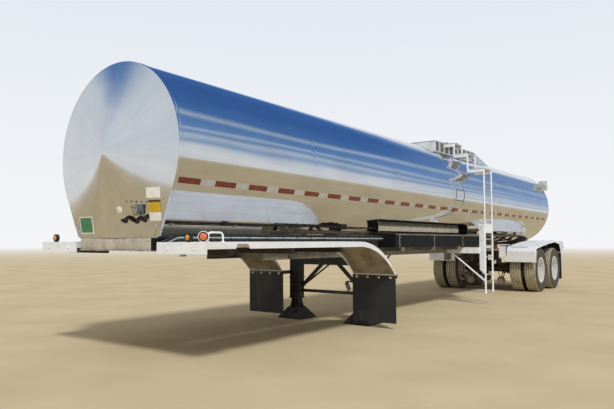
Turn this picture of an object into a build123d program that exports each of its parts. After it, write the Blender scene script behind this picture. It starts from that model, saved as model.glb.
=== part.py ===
"""Tank semi-trailer parked on its landing gear.

Frame: +X forward, +Y the trailer's left side, +Z up, origin on the ground under the middle
of the whole outline. Millimetres. Distances called "back" run rearwards from the front rim,
and a "rise" is a height over the top of the jacket.
"""

from build123d import *
from math import cos, radians, sin, sqrt
import os

os.makedirs("parts", exist_ok=True)

# Tank
TANK_R = 927.0
TANK_LEN = 13070.0
TANK_BOTTOM_Z = 1144.0
HEAD_DEPTH = 167.0
HEAD_TIP_R = 15.0
HEAD_RING = 40.0
RIM_STEP = 6.0

# Front apron: it leaves the rim this many degrees under the horizontal
APRON_ANGLE = 30.5
APRON_MARGIN = 80.0

# Running gear
TYRE_R = 505.0
TYRE_W = 280.0
DUAL_SPACING = 335.0
TYRE_OUTER_Y = 1265.0
RIM_R = 286.0
BOGIE_BACK = 11592.5
AXLE_SPREAD = 1245.0
AXLE_TUBE_R = 63.5
SPINDLE_R = 42.0
HUB_GAP = 6.0
DRUM_R = 210.0
DRUM_LEN = 190.0

# Upper coupler and kingpin
COUPLER_HALF_W = 560.0
COUPLER_LEN = 1750.0
COUPLER_BOTTOM_Z = 1100.0
COUPLER_HEIGHT = 120.0
KINGPIN_BACK = 914.0
KINGPIN_NECK_R = 25.4
KINGPIN_COLLAR_R = 35.7
KINGPIN_DROP = 84.0
KINGPIN_COLLAR_LEN = 35.0
KINGPIN_TOP_LEN = 14.0
KINGPIN_FLANGE_R = 90.0
KINGPIN_FLANGE_T = 20.0
KINGPIN_CHAMFER = 3.0

# Frame rails under the tank
RAIL_Y = 430.0
RAIL_FLANGE = 76.0
RAIL_WEB = 8.0
RAIL_TOP_Z = 1090.0
RAIL_HEIGHT = 130.0
REAR_OVERHANG = 785.0
CROSS_HEIGHT = 100.0
CROSS_W = 60.0
CROSS_BACKS = (2300.0, 4700.0, 6300.0, 7300.0, 8600.0, 9900.0)
SADDLE_LEN = 160.0
SADDLE_BACKS = (2300.0, 4700.0, 7300.0, 9900.0)
SADDLE_REAR_INSET = 400.0

# Front fenders
FENDER_OUTER_Y = 1295.0
FENDER_INNER_Y = 640.0
FENDER_SHEET = 8.0
FENDER_TOP_Z = 1180.0
FENDER_LIP = 62.0
FENDER_VALANCE = 110.0
FENDER_EDGE = 15.0
NOTCH_FRONT_BACK = 400.0
NOTCH_REAR_BACK = 600.0
NOTCH_SLANT = 50.0
FENDER_FLAT_END_BACK = 2620.0
FENDER_TAIL_BACK = 3530.0
FENDER_TAIL_R = 1150.0
ARM_BACKS = (320.0, 1250.0, 2200.0)
ARM_SIZE = 60.0

# Front mudflaps
FLAP_W = 672.0
FLAP_T = 10.0
FLAP_LEN = 640.0
FLAP_BAR = 50.0

# Landing gear
LEG_BACK = 3850.0
LEG_Y = 600.0
LEG_SIZE = 160.0
LEG_TOP_Z = 1040.0
LEG_BOTTOM_Z = 300.0
INNER_LEG_SIZE = 120.0
FOOT_BASE = 420.0
FOOT_TOP = 190.0
FOOT_H = 170.0
BRACE_SIZE = 45.0
BRACE_LOW_Z = 420.0
BRACE_HIGH_Z = 830.0
BRACE_TOP_Y = 110.0
GEAR_BEAM_W = 150.0
FOOT_PLATE = 14.0
STAY_R = 14.0
STAY_BACK = 5200.0
CRANK_R = 11.0
CRANK_Z = 590.0
CRANK_REACH = 240.0
CRANK_GRIP = 140.0
CRANK_BEND_R = 35.0

# Hose trays
TRAY_START_BACK = 4450.0
TRAY_END_BACK = 8200.0
TRAY_INNER_Y = 520.0
TRAY_OUTER_Y = 820.0
TRAY_HEIGHT = 200.0
TRAY_WALL = 6.0
TRAY_ARM_BACKS = (4700.0, 5850.0, 7000.0, 8050.0)

# Ladder, and the steps from it up to the spill dam
LADDER_CLEAR = 273.0
LADDER_FRONT_BACK = 7300.0
LADDER_PITCH_X = 400.0
LADDER_RAIL_R = 17.0
LADDER_RUNG_R = 11.0
LADDER_BOTTOM_Z = 230.0
RUNG_PITCH = 330.0
# Step heights over the tank's axis, and how far inside the jacket's side two of them end
STEP_HEIGHTS = (449.0, 759.0, 979.0)
STEP_INSETS = (42.0, 307.0)
STEP_BAR_H = 55.0
TREAD_T = 25.0
OUTRIGGER_Z = 1010.0
OUTRIGGER_SIZE = 110.0
POST_W = 90.0
POST_T = 50.0
POST_TOP_Z = 1490.0
POST_BOTTOM_Z = 580.0
POST_CHAMFER = 75.0
POST_HOLE_R = 9.0
POST_HOLE_ZS = (1360.0, 1187.0, 1040.0)
STRUT_INNER_Y = 486.0
STRUT_LOW_Z = 437.0
STRUT_R = 16.0
# Plates at the post's head: a wing inboard, with its hollow edge, and a panel between the rails
HEAD_PLATE_T = 10.0
WING_REACH = 84.0
WING_RISE = 40.0
WING_DROP = 160.0
WING_HOLLOW_R = 160.0
PANEL_H = 176.0
PANEL_RISE = 20.0
# Junction box under the outrigger's inner end
JUNCTION_LEN = 90.0
JUNCTION_W = 120.0
JUNCTION_H = 135.0
JUNCTION_Y = 464.0

# Spill dam and manway
DAM_FRONT_BACK = 6910.0
DAM_REAR_BACK = 8930.0
DAM_RAMP = 460.0
DAM_HALF_W = 420.0
DAM_RISE = 105.0
DAM_WALL = 8.0
MANWAY_BACK = 8330.0
NECK_R = 255.0
NECK_WALL = 12.0
NECK_RISE = 200.0
LID_R = 290.0
LID_T = 14.0
LID_CROWN = 60.0
HINGE_OFFSET = 45.0
HINGE_LUG_Y = 70.0
HINGE_LUG_R = 22.0
HINGE_LUG_T = 16.0
HINGE_PIN_R = 9.0
HINGE_GAP = 6.0
PIN_GAP = 0.5
LID_DISH_R = 730.0
CLAMP_COUNT = 6
CLAMP_START = 30.0
CLAMP_R = 16.0
CLAMP_H = 40.0
# Vents: distance back, Y, cap radius, rise
VENTS = (
    (7900.0, -120.0, 60.0, 250.0),
    (8820.0, 0.0, 60.0, 230.0),
    (8820.0, 220.0, 40.0, 150.0),
)

# Rear fenders
FLAP_GAP = 20.0
REAR_FENDER_ROUND = 50.0
REAR_FENDER_LIP = 40.0
REAR_FENDER_INNER_Y = 640.0
REAR_FLAP_BOTTOM_Z = 210.0
# Fender outline from the front: axle it follows, distance behind that axle, Z
REAR_FENDER_OUTLINE = (
    (0, -620.0, 700.0),
    (0, -620.0, 945.0),
    (0, -545.0, 1045.0),
    (0, 380.0, 1147.0),
    (1, -95.0, 1195.0),
    (1, 355.0, 1143.0),
    (1, TYRE_R + FLAP_GAP, 950.0),
    (1, TYRE_R + FLAP_GAP, 880.0),
)

# Suspension
HANGER_REACH = 520.0
SPRING_LEN = 1010.0
SPRING_RISE = 195.0
SPRING_SAG = 60.0
SPRING_STACK = 55.0
LEAF_TIP = 14.0
SUBFRAME_HEIGHT = 140.0
SUBFRAME_OVERHANG = 90.0
HANGER_LEN = 110.0
EQUALISER_H = 60.0
EQUALISER_HALF_LEN = 170.0
EQUALISER_ANGLE = 60.0
AXLE_TUBE_HALF = 545.0
SPINDLE_HALF = 700.0
SEAT_LEN = 120.0
TORQUE_ROD_R = 18.0
TORQUE_ROD_Y = 330.0
CHAMBER_FORWARD = 250.0
CHAMBER_Y = 380.0
CHAMBER_Z = 240.0
CHAMBER_R = 100.0
CHAMBER_LEN = 150.0
CHAMBER_ARM_W = 60.0
CHAMBER_ARM_T = 30.0

# Wheels
RIM_HALF_W = 115.0
RIM_T = 14.0
RIM_LIP_R = 300.0
RIM_LIP_T = 8.0
DISC_T = 20.0
HUB_R = 105.0
HUB_WALL = 47.0
HUB_FACE_Y = 1120.0
HUB_CAP_R = 68.0
HUB_CAP_Y = 1165.0
DRUM_CLEARANCE = 20.0
DRUM_WALL = 15.0
HAND_HOLE_PCR = 190.0
HAND_HOLE_COUNT = 8
HAND_HOLE_R = 32.0
BEAD_H = 14.0
TYRE_MID_R = 395.0
SHOULDER = 28.0

# Rear end
BUMPER_Z = 500.0
BUMPER_SIZE = 110.0
BUMPER_HALF_W = 1180.0
BUMPER_POST = 80.0
TAIL_BOX_INSET = 100.0
TAIL_BOX_LEN = 130.0
TAIL_BOX_W = 300.0
TAIL_BOX_H = 280.0
TAIL_BOX_OUTER_Y = 1290.0
TAIL_BOX_Z = 1035.0
TAIL_LAMP_R = 50.0
TAIL_LAMP_T = 22.0
RIM_BOX_ANGLE = 36.0
RIM_BOX_PROUD = 70.0
RIM_BOX_LEN = 120.0
RIM_BOX_W = 200.0
RIM_BOX_H = 250.0
OUTLET_INSET = 160.0
OUTLET_Z = 870.0
OUTLET_R = 55.0
OUTLET_REACH = 220.0
VALVE_R = 85.0
VALVE_LEN = 90.0
CAP_R = 72.0
CAP_LEN = 50.0
CAP_EAR = 20.0

# Bracket plates ahead of the rear fenders
BRACKET_BACK = 9500.0
BRACKET_INNER_Y = 740.0
BRACKET_W = 145.0
BRACKET_H = 260.0
BRACKET_T = 10.0
BRACKET_DROP = 20.0
SIDE_LAMP_Y = 675.0
SIDE_LAMP_R = 48.0
SIDE_LAMP_T = 30.0

# Front fittings: each one's inset from the rim and its angle under the horizontal
COUPLING_INSET = 138.5
COUPLING_ANGLE = 57.0
COUPLING_W = 300.0
COUPLING_H = 90.0
COUPLING_STANDOFF = 60.0
GLADHAND_R = 32.0
GLADHAND_LEN = 40.0
PLATE_T = 24.0
# Front plates: side, inset, angle, width, height
FRONT_PLATES = (
    (1, 152.0, 33.4, 130.0, 95.0),
    (1, 50.5, 39.1, 118.0, 105.0),
    (1, -1.0, 44.2, 100.0, 80.0),
    (-1, 124.5, 64.1, 230.0, 175.0),
)
# Marker lamps: side, distance back, Y, ring radius, degrees that it faces outward
FRONT_LAMPS = (
    (1, 20.0, 1048.0, 42.0, 0.0),
    (1, 42.0, 1214.0, 50.0, 37.0),
    (-1, 20.0, 1048.0, 42.0, 0.0),
)
LAMP_T = 30.0
# Guard hoop behind the outer left lamp
HOOP_Y = 1214.0
HOOP_FRONT_BACK = 95.0
HOOP_REAR_BACK = 288.0
HOOP_RISE = 88.0
HOOP_R = 9.0
HOOP_BEND_R = 40.0
# Hoses along the left side, and the pale conduit between them
LINE_Y = 600.0
HOSE_ZS = (1252.0, 1196.0)
HOSE_R = 15.0
CONDUIT_Z = 1224.0
CONDUIT_R = 11.0
LINE_START_BACK = 40.0
LINE_RISE = 260.0
LINE_SPREAD = 20.0
LINE_DROP = 90.0
LINE_BEND_R = 300.0
CLIP_LEN = 30.0
CLIP_W = 40.0

HALF = TANK_LEN / 2
SIDES = (("left", 1), ("right", -1))


def back(distance):
    """X of a place that far behind the front rim."""
    return HALF - distance


def side_plane(y):
    """A drawing plane seen from the right, local X forward and local Y up, at this Y."""
    return Plane.XZ.offset(-y)


def bar(start, end, radius):
    """A round bar of this radius from start to end."""
    run = Vector(*end) - Vector(*start)
    with BuildSketch(Plane(origin=start, z_dir=run)) as section:
        Circle(radius)
    extrude(section.sketch, amount=run.length)


def box_bar(start, end, width, height):
    """A rectangular bar from start to end, width across and height upwards."""
    run = Vector(*end) - Vector(*start)
    across = Vector(0, 0, 1).cross(run)
    with BuildSketch(Plane(origin=start, x_dir=across, z_dir=run)) as section:
        Rectangle(width, height)
    extrude(section.sketch, amount=run.length)


def cut_tank():
    """Cuts the tank's own round out of the piece, so that it sits on the jacket."""
    with Locations((0, 0, axis_z)):
        Cylinder(TANK_R, TANK_LEN, rotation=(0, 90, 0), mode=Mode.SUBTRACT)


def rim_place(inset, angle):
    """Y and Z on the left of the head, this far in from the rim and degrees under level."""
    reach = TANK_R - inset
    return reach * cos(radians(angle)), axis_z - reach * sin(radians(angle))


axis_z = TANK_BOTTOM_Z + TANK_R
jacket_top_z = axis_z + TANK_R
coupler_top_z = COUPLER_BOTTOM_Z + COUPLER_HEIGHT
axle_backs = (BOGIE_BACK - AXLE_SPREAD / 2, BOGIE_BACK + AXLE_SPREAD / 2)
rail_end_back = axle_backs[1] + REAR_OVERHANG
rail_bottom_z = RAIL_TOP_Z - RAIL_HEIGHT
rail_outer_y = RAIL_Y + RAIL_FLANGE / 2

# Tank shell
with BuildPart() as tank_shell:
    with Locations((0, 0, axis_z)):
        Cylinder(TANK_R, TANK_LEN - 2 * HEAD_RING, rotation=(0, 90, 0))
tank_shell.part.label = "tank_shell"
export_step(tank_shell.part, "parts/tank_shell.step")

# Front head: a cone that runs on past the rim into its apron, cut level over the coupler
shoulder_y, shoulder_z = rim_place(0, APRON_ANGLE)
apron_half_w = COUPLER_HALF_W + APRON_MARGIN
head_slope = HEAD_DEPTH / (TANK_R - RIM_STEP - HEAD_TIP_R)
with BuildPart() as front_head:
    with BuildSketch(Plane.YZ.offset(HALF - HEAD_RING)):
        with Locations((0, axis_z)):
            Circle(TANK_R)
        with BuildLine():
            Polyline(
                (-apron_half_w, coupler_top_z),
                (apron_half_w, coupler_top_z),
                (shoulder_y, shoulder_z),
                (-shoulder_y, shoulder_z),
                close=True,
            )
        make_face()
        with Locations((0, coupler_top_z)):
            Rectangle(2 * TANK_R, TANK_R, align=(Align.CENTER, Align.MAX), mode=Mode.SUBTRACT)
    extrude(amount=HEAD_RING + HEAD_DEPTH)
    with Locations((HALF + (HEAD_DEPTH - HEAD_RING) / 2, 0, axis_z)):
        Cone(
            TANK_R - RIM_STEP + HEAD_RING / head_slope,
            HEAD_TIP_R,
            HEAD_DEPTH + HEAD_RING,
            rotation=(0, 90, 0),
            mode=Mode.INTERSECT,
        )
front_head.part.label = "front_head"
export_step(front_head.part, "parts/front_head.step")

# Rear head
with BuildPart() as rear_head:
    with Locations((HEAD_RING / 2 - HALF, 0, axis_z)):
        Cylinder(TANK_R, HEAD_RING, rotation=(0, 90, 0))
    with Locations((-HALF - HEAD_DEPTH / 2, 0, axis_z)):
        Cone(HEAD_TIP_R, TANK_R - RIM_STEP, HEAD_DEPTH, rotation=(0, 90, 0))
rear_head.part.label = "rear_head"
export_step(rear_head.part, "parts/rear_head.step")

# Upper coupler, with the pocket for the kingpin's flange
with BuildPart() as upper_coupler:
    with Locations((back(COUPLER_LEN / 2), 0, COUPLER_BOTTOM_Z)):
        Box(
            COUPLER_LEN,
            2 * COUPLER_HALF_W,
            COUPLER_HEIGHT,
            align=(Align.CENTER, Align.CENTER, Align.MIN),
        )
    add(tank_shell.part, mode=Mode.SUBTRACT)
    with Locations((back(KINGPIN_BACK), 0, COUPLER_BOTTOM_Z)):
        Cylinder(
            KINGPIN_FLANGE_R,
            KINGPIN_FLANGE_T,
            align=(Align.CENTER, Align.CENTER, Align.MIN),
            mode=Mode.SUBTRACT,
        )
upper_coupler.part.label = "upper_coupler"
export_step(upper_coupler.part, "parts/upper_coupler.step")

# Kingpin
kingpin_bottom_z = COUPLER_BOTTOM_Z - KINGPIN_DROP
with BuildPart() as kingpin:
    with Locations((back(KINGPIN_BACK), 0, kingpin_bottom_z)):
        Cylinder(KINGPIN_NECK_R, KINGPIN_DROP, align=(Align.CENTER, Align.CENTER, Align.MIN))
        Cylinder(
            KINGPIN_COLLAR_R,
            KINGPIN_COLLAR_LEN,
            align=(Align.CENTER, Align.CENTER, Align.MIN),
        )
    with Locations((back(KINGPIN_BACK), 0, COUPLER_BOTTOM_Z)):
        Cylinder(
            KINGPIN_COLLAR_R,
            KINGPIN_TOP_LEN,
            align=(Align.CENTER, Align.CENTER, Align.MAX),
        )
        Cylinder(
            KINGPIN_FLANGE_R,
            KINGPIN_FLANGE_T,
            align=(Align.CENTER, Align.CENTER, Align.MIN),
        )
    chamfer(kingpin.edges().filter_by(GeomType.CIRCLE).sort_by(Axis.Z)[0], length=KINGPIN_CHAMFER)
kingpin.part.label = "kingpin"
export_step(kingpin.part, "parts/kingpin.step")

# Frame rails, channels with the flanges turned inwards
rail_mid_z = RAIL_TOP_Z - RAIL_HEIGHT / 2
with BuildPart() as frame_rails:
    with BuildSketch(Plane.YZ.offset(back(COUPLER_LEN))):
        for side, sign in SIDES:
            with Locations((sign * RAIL_Y, rail_mid_z)):
                Rectangle(RAIL_FLANGE, RAIL_HEIGHT)
            with Locations((sign * (RAIL_Y - RAIL_WEB), rail_mid_z)):
                Rectangle(RAIL_FLANGE, RAIL_HEIGHT - 2 * RAIL_WEB, mode=Mode.SUBTRACT)
    extrude(amount=COUPLER_LEN - rail_end_back)
frame_rails.part.label = "frame_rails"
export_step(frame_rails.part, "parts/frame_rails.step")

# Crossmembers between the rails
with BuildPart() as crossmembers:
    for cross_back in (*CROSS_BACKS, BOGIE_BACK, rail_end_back - CROSS_W):
        with Locations((back(cross_back), 0, rail_mid_z)):
            Box(CROSS_W, 2 * (rail_outer_y - RAIL_WEB), CROSS_HEIGHT)
crossmembers.part.label = "frame_crossmembers"
export_step(crossmembers.part, "parts/frame_crossmembers.step")

# Saddles between the rails and the jacket
saddle_top_z = axis_z - sqrt(TANK_R**2 - rail_outer_y**2)
with BuildPart() as saddles:
    for saddle_back in (*SADDLE_BACKS, rail_end_back - SADDLE_REAR_INSET):
        with Locations((back(saddle_back), 0, RAIL_TOP_Z)):
            Box(
                SADDLE_LEN,
                2 * rail_outer_y,
                saddle_top_z - RAIL_TOP_Z,
                align=(Align.CENTER, Align.CENTER, Align.MIN),
            )
    cut_tank()
saddles.part.label = "tank_saddles"
export_step(saddles.part, "parts/tank_saddles.step")

# Front fenders: a flat sheet with an arc tail, a turned-down lip and a front valance
fender_width = FENDER_OUTER_Y - FENDER_INNER_Y
tail_run = FENDER_TAIL_BACK - FENDER_FLAT_END_BACK
tail_x = back(FENDER_TAIL_BACK)
arc_start_x = back(FENDER_FLAT_END_BACK)
tail_upper_z = FENDER_TOP_Z - FENDER_TAIL_R + sqrt(FENDER_TAIL_R**2 - tail_run**2)
sheet_inner_r = FENDER_TAIL_R - FENDER_SHEET
tail_lower_z = FENDER_TOP_Z - FENDER_TAIL_R + sqrt(sheet_inner_r**2 - tail_run**2)


def fender_profile(depth):
    """Side view of the fender, this deep on the flat and tapering to the sheet at the tail."""
    lower_z = FENDER_TOP_Z - depth
    lower_drop = lower_z - tail_lower_z
    lower_r = (tail_run**2 + lower_drop**2) / (2 * lower_drop)
    with BuildSketch(side_plane(0)) as profile:
        with BuildLine():
            Line((HALF, FENDER_TOP_Z), (arc_start_x, FENDER_TOP_Z))
            RadiusArc((arc_start_x, FENDER_TOP_Z), (tail_x, tail_upper_z), -FENDER_TAIL_R)
            Line((tail_x, tail_upper_z), (tail_x, tail_lower_z))
            RadiusArc((tail_x, tail_lower_z), (arc_start_x, lower_z), lower_r)
            Line((arc_start_x, lower_z), (HALF, lower_z))
            Line((HALF, lower_z), (HALF, FENDER_TOP_Z))
        make_face()
    return profile.sketch


with BuildPart() as front_fenders:
    extrude(Pos(0, FENDER_INNER_Y, 0) * fender_profile(FENDER_SHEET), amount=-fender_width)
    for lip_y in (FENDER_INNER_Y, FENDER_OUTER_Y - FENDER_SHEET):
        extrude(Pos(0, lip_y, 0) * fender_profile(FENDER_LIP), amount=-FENDER_SHEET)
    with Locations((HALF, (FENDER_OUTER_Y + FENDER_INNER_Y) / 2, FENDER_TOP_Z)):
        Box(
            FENDER_SHEET,
            fender_width,
            FENDER_VALANCE,
            align=(Align.MAX, Align.CENTER, Align.MAX),
        )
    with BuildSketch(side_plane(FENDER_OUTER_Y - FENDER_SHEET)):
        with BuildLine():
            Polyline(
                (back(NOTCH_FRONT_BACK), FENDER_TOP_Z - FENDER_EDGE),
                (back(NOTCH_REAR_BACK - NOTCH_SLANT), FENDER_TOP_Z - FENDER_EDGE),
                (back(NOTCH_REAR_BACK), FENDER_TOP_Z - FENDER_VALANCE),
                (back(NOTCH_FRONT_BACK - NOTCH_SLANT), FENDER_TOP_Z - FENDER_VALANCE),
                close=True,
            )
        make_face()
    extrude(amount=-FENDER_SHEET, mode=Mode.SUBTRACT)
    mirror(front_fenders.part, about=Plane.XZ)
front_fenders.part.label = "front_fenders"
export_step(front_fenders.part, "parts/front_fenders.step")

# Arms that carry the front fenders, out from the coupler and the rails
arm_top_z = FENDER_TOP_Z - FENDER_LIP
with BuildPart() as fender_arms:
    for arm_back in ARM_BACKS:
        for side, sign in SIDES:
            arm_inner_y = COUPLER_HALF_W if arm_back < COUPLER_LEN else rail_outer_y
            arm_outer_y = FENDER_OUTER_Y - FENDER_SHEET
            with Locations((back(arm_back), sign * (arm_inner_y + arm_outer_y) / 2, arm_top_z)):
                Box(
                    ARM_SIZE,
                    arm_outer_y - arm_inner_y,
                    ARM_SIZE,
                    align=(Align.CENTER, Align.CENTER, Align.MAX),
                )
fender_arms.part.label = "front_fender_arms"
export_step(fender_arms.part, "parts/front_fender_arms.step")

# Mudflap hangers: a bar behind each fender tail and a stay to the leg
flap_y = FENDER_OUTER_Y - FLAP_W / 2
leg_front_x = back(LEG_BACK) + LEG_SIZE / 2
with BuildPart() as flap_hangers:
    for side, sign in SIDES:
        with Locations((tail_x, sign * flap_y, tail_upper_z)):
            Box(FLAP_BAR, FLAP_W, FLAP_BAR, align=(Align.MAX, Align.CENTER, Align.MAX))
        with Locations((tail_x - FLAP_BAR, sign * (LEG_Y + FLAP_BAR), tail_upper_z)):
            Box(
                tail_x - FLAP_BAR - leg_front_x,
                FLAP_BAR,
                FLAP_BAR,
                align=(Align.MAX, Align.CENTER, Align.MAX),
            )
flap_hangers.part.label = "front_flap_hangers"
export_step(flap_hangers.part, "parts/front_flap_hangers.step")

# Front mudflaps
with BuildPart() as front_mudflaps:
    for side, sign in SIDES:
        with Locations((tail_x, sign * flap_y, tail_lower_z)):
            Box(FLAP_T, FLAP_W, FLAP_LEN, align=(Align.MIN, Align.CENTER, Align.MAX))
front_mudflaps.part.label = "front_mudflaps"
export_step(front_mudflaps.part, "parts/front_mudflaps.step")

# Landing gear beam under the rails
with BuildPart() as gear_beam:
    with Locations((back(LEG_BACK), 0, rail_bottom_z)):
        Box(
            GEAR_BEAM_W,
            2 * LEG_Y - LEG_SIZE,
            rail_bottom_z - BRACE_HIGH_Z,
            align=(Align.CENTER, Align.CENTER, Align.MAX),
        )
gear_beam.part.label = "landing_gear_beam"
export_step(gear_beam.part, "parts/landing_gear_beam.step")

# Landing legs: outer tube, inner leg and flared foot
with BuildPart() as landing_legs:
    for side, sign in SIDES:
        with Locations((back(LEG_BACK), sign * LEG_Y, LEG_TOP_Z)):
            Box(
                LEG_SIZE,
                LEG_SIZE,
                LEG_TOP_Z - LEG_BOTTOM_Z,
                align=(Align.CENTER, Align.CENTER, Align.MAX),
            )
        with Locations((back(LEG_BACK), sign * LEG_Y, LEG_BOTTOM_Z)):
            Box(
                INNER_LEG_SIZE,
                INNER_LEG_SIZE,
                LEG_BOTTOM_Z - FOOT_H,
                align=(Align.CENTER, Align.CENTER, Align.MAX),
            )
        for foot_z, foot_size in ((0, FOOT_BASE), (FOOT_PLATE, FOOT_BASE), (FOOT_H, FOOT_TOP)):
            with BuildSketch(Plane.XY.offset(foot_z)):
                with Locations((back(LEG_BACK), sign * LEG_Y)):
                    Rectangle(foot_size, foot_size)
        loft(ruled=True)
landing_legs.part.label = "landing_legs"
export_step(landing_legs.part, "parts/landing_legs.step")

# Cross braces between the legs and stays back up to the rails, trimmed to what they meet
leg_inner_y = LEG_Y - LEG_SIZE / 2
brace_x = back(LEG_BACK) - BRACE_SIZE
with BuildPart() as gear_braces:
    box_bar((brace_x, -LEG_Y, BRACE_LOW_Z), (brace_x, LEG_Y, BRACE_LOW_Z), BRACE_SIZE, BRACE_SIZE)
    for side, sign in SIDES:
        box_bar(
            (brace_x, sign * LEG_Y, BRACE_LOW_Z),
            (brace_x, sign * BRACE_TOP_Y, BRACE_HIGH_Z + BRACE_SIZE),
            BRACE_SIZE,
            BRACE_SIZE,
        )
        bar(
            (back(LEG_BACK), sign * (LEG_Y - STAY_R), BRACE_LOW_Z),
            (back(STAY_BACK), sign * RAIL_Y, RAIL_TOP_Z),
            STAY_R,
        )
    add(landing_legs.part, mode=Mode.SUBTRACT)
    add(gear_beam.part, mode=Mode.SUBTRACT)
    with Locations((back(LEG_BACK) + LEG_SIZE / 2, 0, rail_bottom_z)):
        Box(
            STAY_BACK - LEG_BACK,
            2 * LEG_Y,
            rail_bottom_z,
            align=(Align.MAX, Align.CENTER, Align.MAX),
            mode=Mode.INTERSECT,
        )
gear_braces.part.label = "landing_gear_braces"
export_step(gear_braces.part, "parts/landing_gear_braces.step")

# Crank handle, folded inwards from the left leg
grip_y = leg_inner_y - CRANK_REACH
with BuildPart() as crank:
    with BuildLine() as crank_path:
        FilletPolyline(
            (back(LEG_BACK), leg_inner_y, CRANK_Z),
            (back(LEG_BACK), grip_y, CRANK_Z),
            (back(LEG_BACK), grip_y + CRANK_GRIP / 2, CRANK_Z - CRANK_GRIP),
            radius=CRANK_BEND_R,
        )
    with BuildSketch(Plane(origin=(back(LEG_BACK), leg_inner_y, CRANK_Z), z_dir=(0, -1, 0))):
        Circle(CRANK_R)
    sweep(path=crank_path.line)
    add(gear_braces.part, mode=Mode.SUBTRACT)
crank.part.label = "landing_gear_crank"
export_step(crank.part, "parts/landing_gear_crank.step")

# Hose trays, open on top, trimmed to the jacket
tray_x = back((TRAY_START_BACK + TRAY_END_BACK) / 2)
tray_y = (TRAY_INNER_Y + TRAY_OUTER_Y) / 2
tray_length = TRAY_END_BACK - TRAY_START_BACK
tray_width = TRAY_OUTER_Y - TRAY_INNER_Y
with BuildPart() as hose_trays:
    for side, sign in SIDES:
        with Locations((tray_x, sign * tray_y, RAIL_TOP_Z)):
            Box(
                tray_length,
                tray_width,
                TRAY_HEIGHT,
                align=(Align.CENTER, Align.CENTER, Align.MIN),
            )
        with Locations((tray_x, sign * tray_y, RAIL_TOP_Z + TRAY_WALL)):
            Box(
                tray_length - 2 * TRAY_WALL,
                tray_width - 2 * TRAY_WALL,
                TRAY_HEIGHT,
                align=(Align.CENTER, Align.CENTER, Align.MIN),
                mode=Mode.SUBTRACT,
            )
    cut_tank()
hose_trays.part.label = "hose_trays"
export_step(hose_trays.part, "parts/hose_trays.step")

# Arms under the hose trays, out from the rails
with BuildPart() as tray_arms:
    for arm_back in TRAY_ARM_BACKS:
        for side, sign in SIDES:
            with Locations((back(arm_back), sign * (rail_outer_y + TRAY_OUTER_Y) / 2, RAIL_TOP_Z)):
                Box(
                    ARM_SIZE,
                    TRAY_OUTER_Y - rail_outer_y,
                    ARM_SIZE,
                    align=(Align.CENTER, Align.CENTER, Align.MAX),
                )
tray_arms.part.label = "hose_tray_arms"
export_step(tray_arms.part, "parts/hose_tray_arms.step")

# Spill dam round the manway: side walls, an upright wall ahead and a ramp behind
dam_top_z = jacket_top_z + DAM_RISE
dam_bottom_z = axis_z + sqrt(TANK_R**2 - DAM_HALF_W**2) - DAM_WALL
ramp_slope = DAM_RISE / DAM_RAMP
ramp_reach = (dam_top_z - dam_bottom_z) / ramp_slope
ramp_wall = DAM_WALL * sqrt(1 + 1 / ramp_slope**2)


def dam_profile(front_inset, rear_inset):
    """Side view of the dam, its front wall and its rear ramp moved in by this much."""
    with BuildSketch(side_plane(0)) as profile:
        with BuildLine():
            Polyline(
                (back(DAM_FRONT_BACK + front_inset), dam_bottom_z),
                (back(DAM_FRONT_BACK + front_inset), dam_top_z),
                (back(DAM_REAR_BACK - rear_inset), dam_top_z),
                (back(DAM_REAR_BACK - rear_inset + ramp_reach), dam_bottom_z),
                close=True,
            )
        make_face()
    return profile.sketch


with BuildPart() as spill_dam:
    extrude(dam_profile(0, 0), amount=DAM_HALF_W, both=True)
    extrude(
        dam_profile(DAM_WALL, ramp_wall),
        amount=DAM_HALF_W - DAM_WALL,
        both=True,
        mode=Mode.SUBTRACT,
    )
    cut_tank()
spill_dam.part.label = "spill_dam"
export_step(spill_dam.part, "parts/spill_dam.step")

# Ladder: two rails with rungs, and two stairs of deep bars and uprights on to the spill dam
ladder_y = TANK_R + LADDER_CLEAR
ladder_xs = (back(LADDER_FRONT_BACK), back(LADDER_FRONT_BACK + LADDER_PITCH_X))
step_ys = (ladder_y, *[TANK_R - inset for inset in STEP_INSETS], DAM_HALF_W)
step_zs = [axis_z + height for height in STEP_HEIGHTS]
rung_count = int((step_zs[0] - LADDER_BOTTOM_Z) // RUNG_PITCH) + 1
with BuildPart() as ladder:
    for rail_x in ladder_xs:
        bar(
            (rail_x, ladder_y, LADDER_BOTTOM_Z - LADDER_RAIL_R),
            (rail_x, ladder_y, step_zs[0]),
            LADDER_RAIL_R,
        )
        for outer_y, inner_y, step_z in zip(step_ys, step_ys[1:], step_zs):
            bar_z = step_z + LADDER_RAIL_R - STEP_BAR_H / 2
            box_bar(
                (rail_x, outer_y, bar_z),
                (rail_x, inner_y, bar_z),
                2 * LADDER_RAIL_R,
                STEP_BAR_H,
            )
            with Locations((rail_x, outer_y, step_z)):
                Sphere(LADDER_RAIL_R)
        for upright_y, foot_z, upright_z in zip(step_ys[1:], step_zs, step_zs[1:]):
            bar(
                (rail_x, upright_y, foot_z + LADDER_RAIL_R - STEP_BAR_H),
                (rail_x, upright_y, upright_z),
                LADDER_RAIL_R,
            )
    for rung in range(rung_count):
        rung_z = LADDER_BOTTOM_Z + rung * RUNG_PITCH
        bar((ladder_xs[0], ladder_y, rung_z), (ladder_xs[1], ladder_y, rung_z), LADDER_RUNG_R)
ladder.part.label = "ladder"
export_step(ladder.part, "parts/ladder.step")

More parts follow.
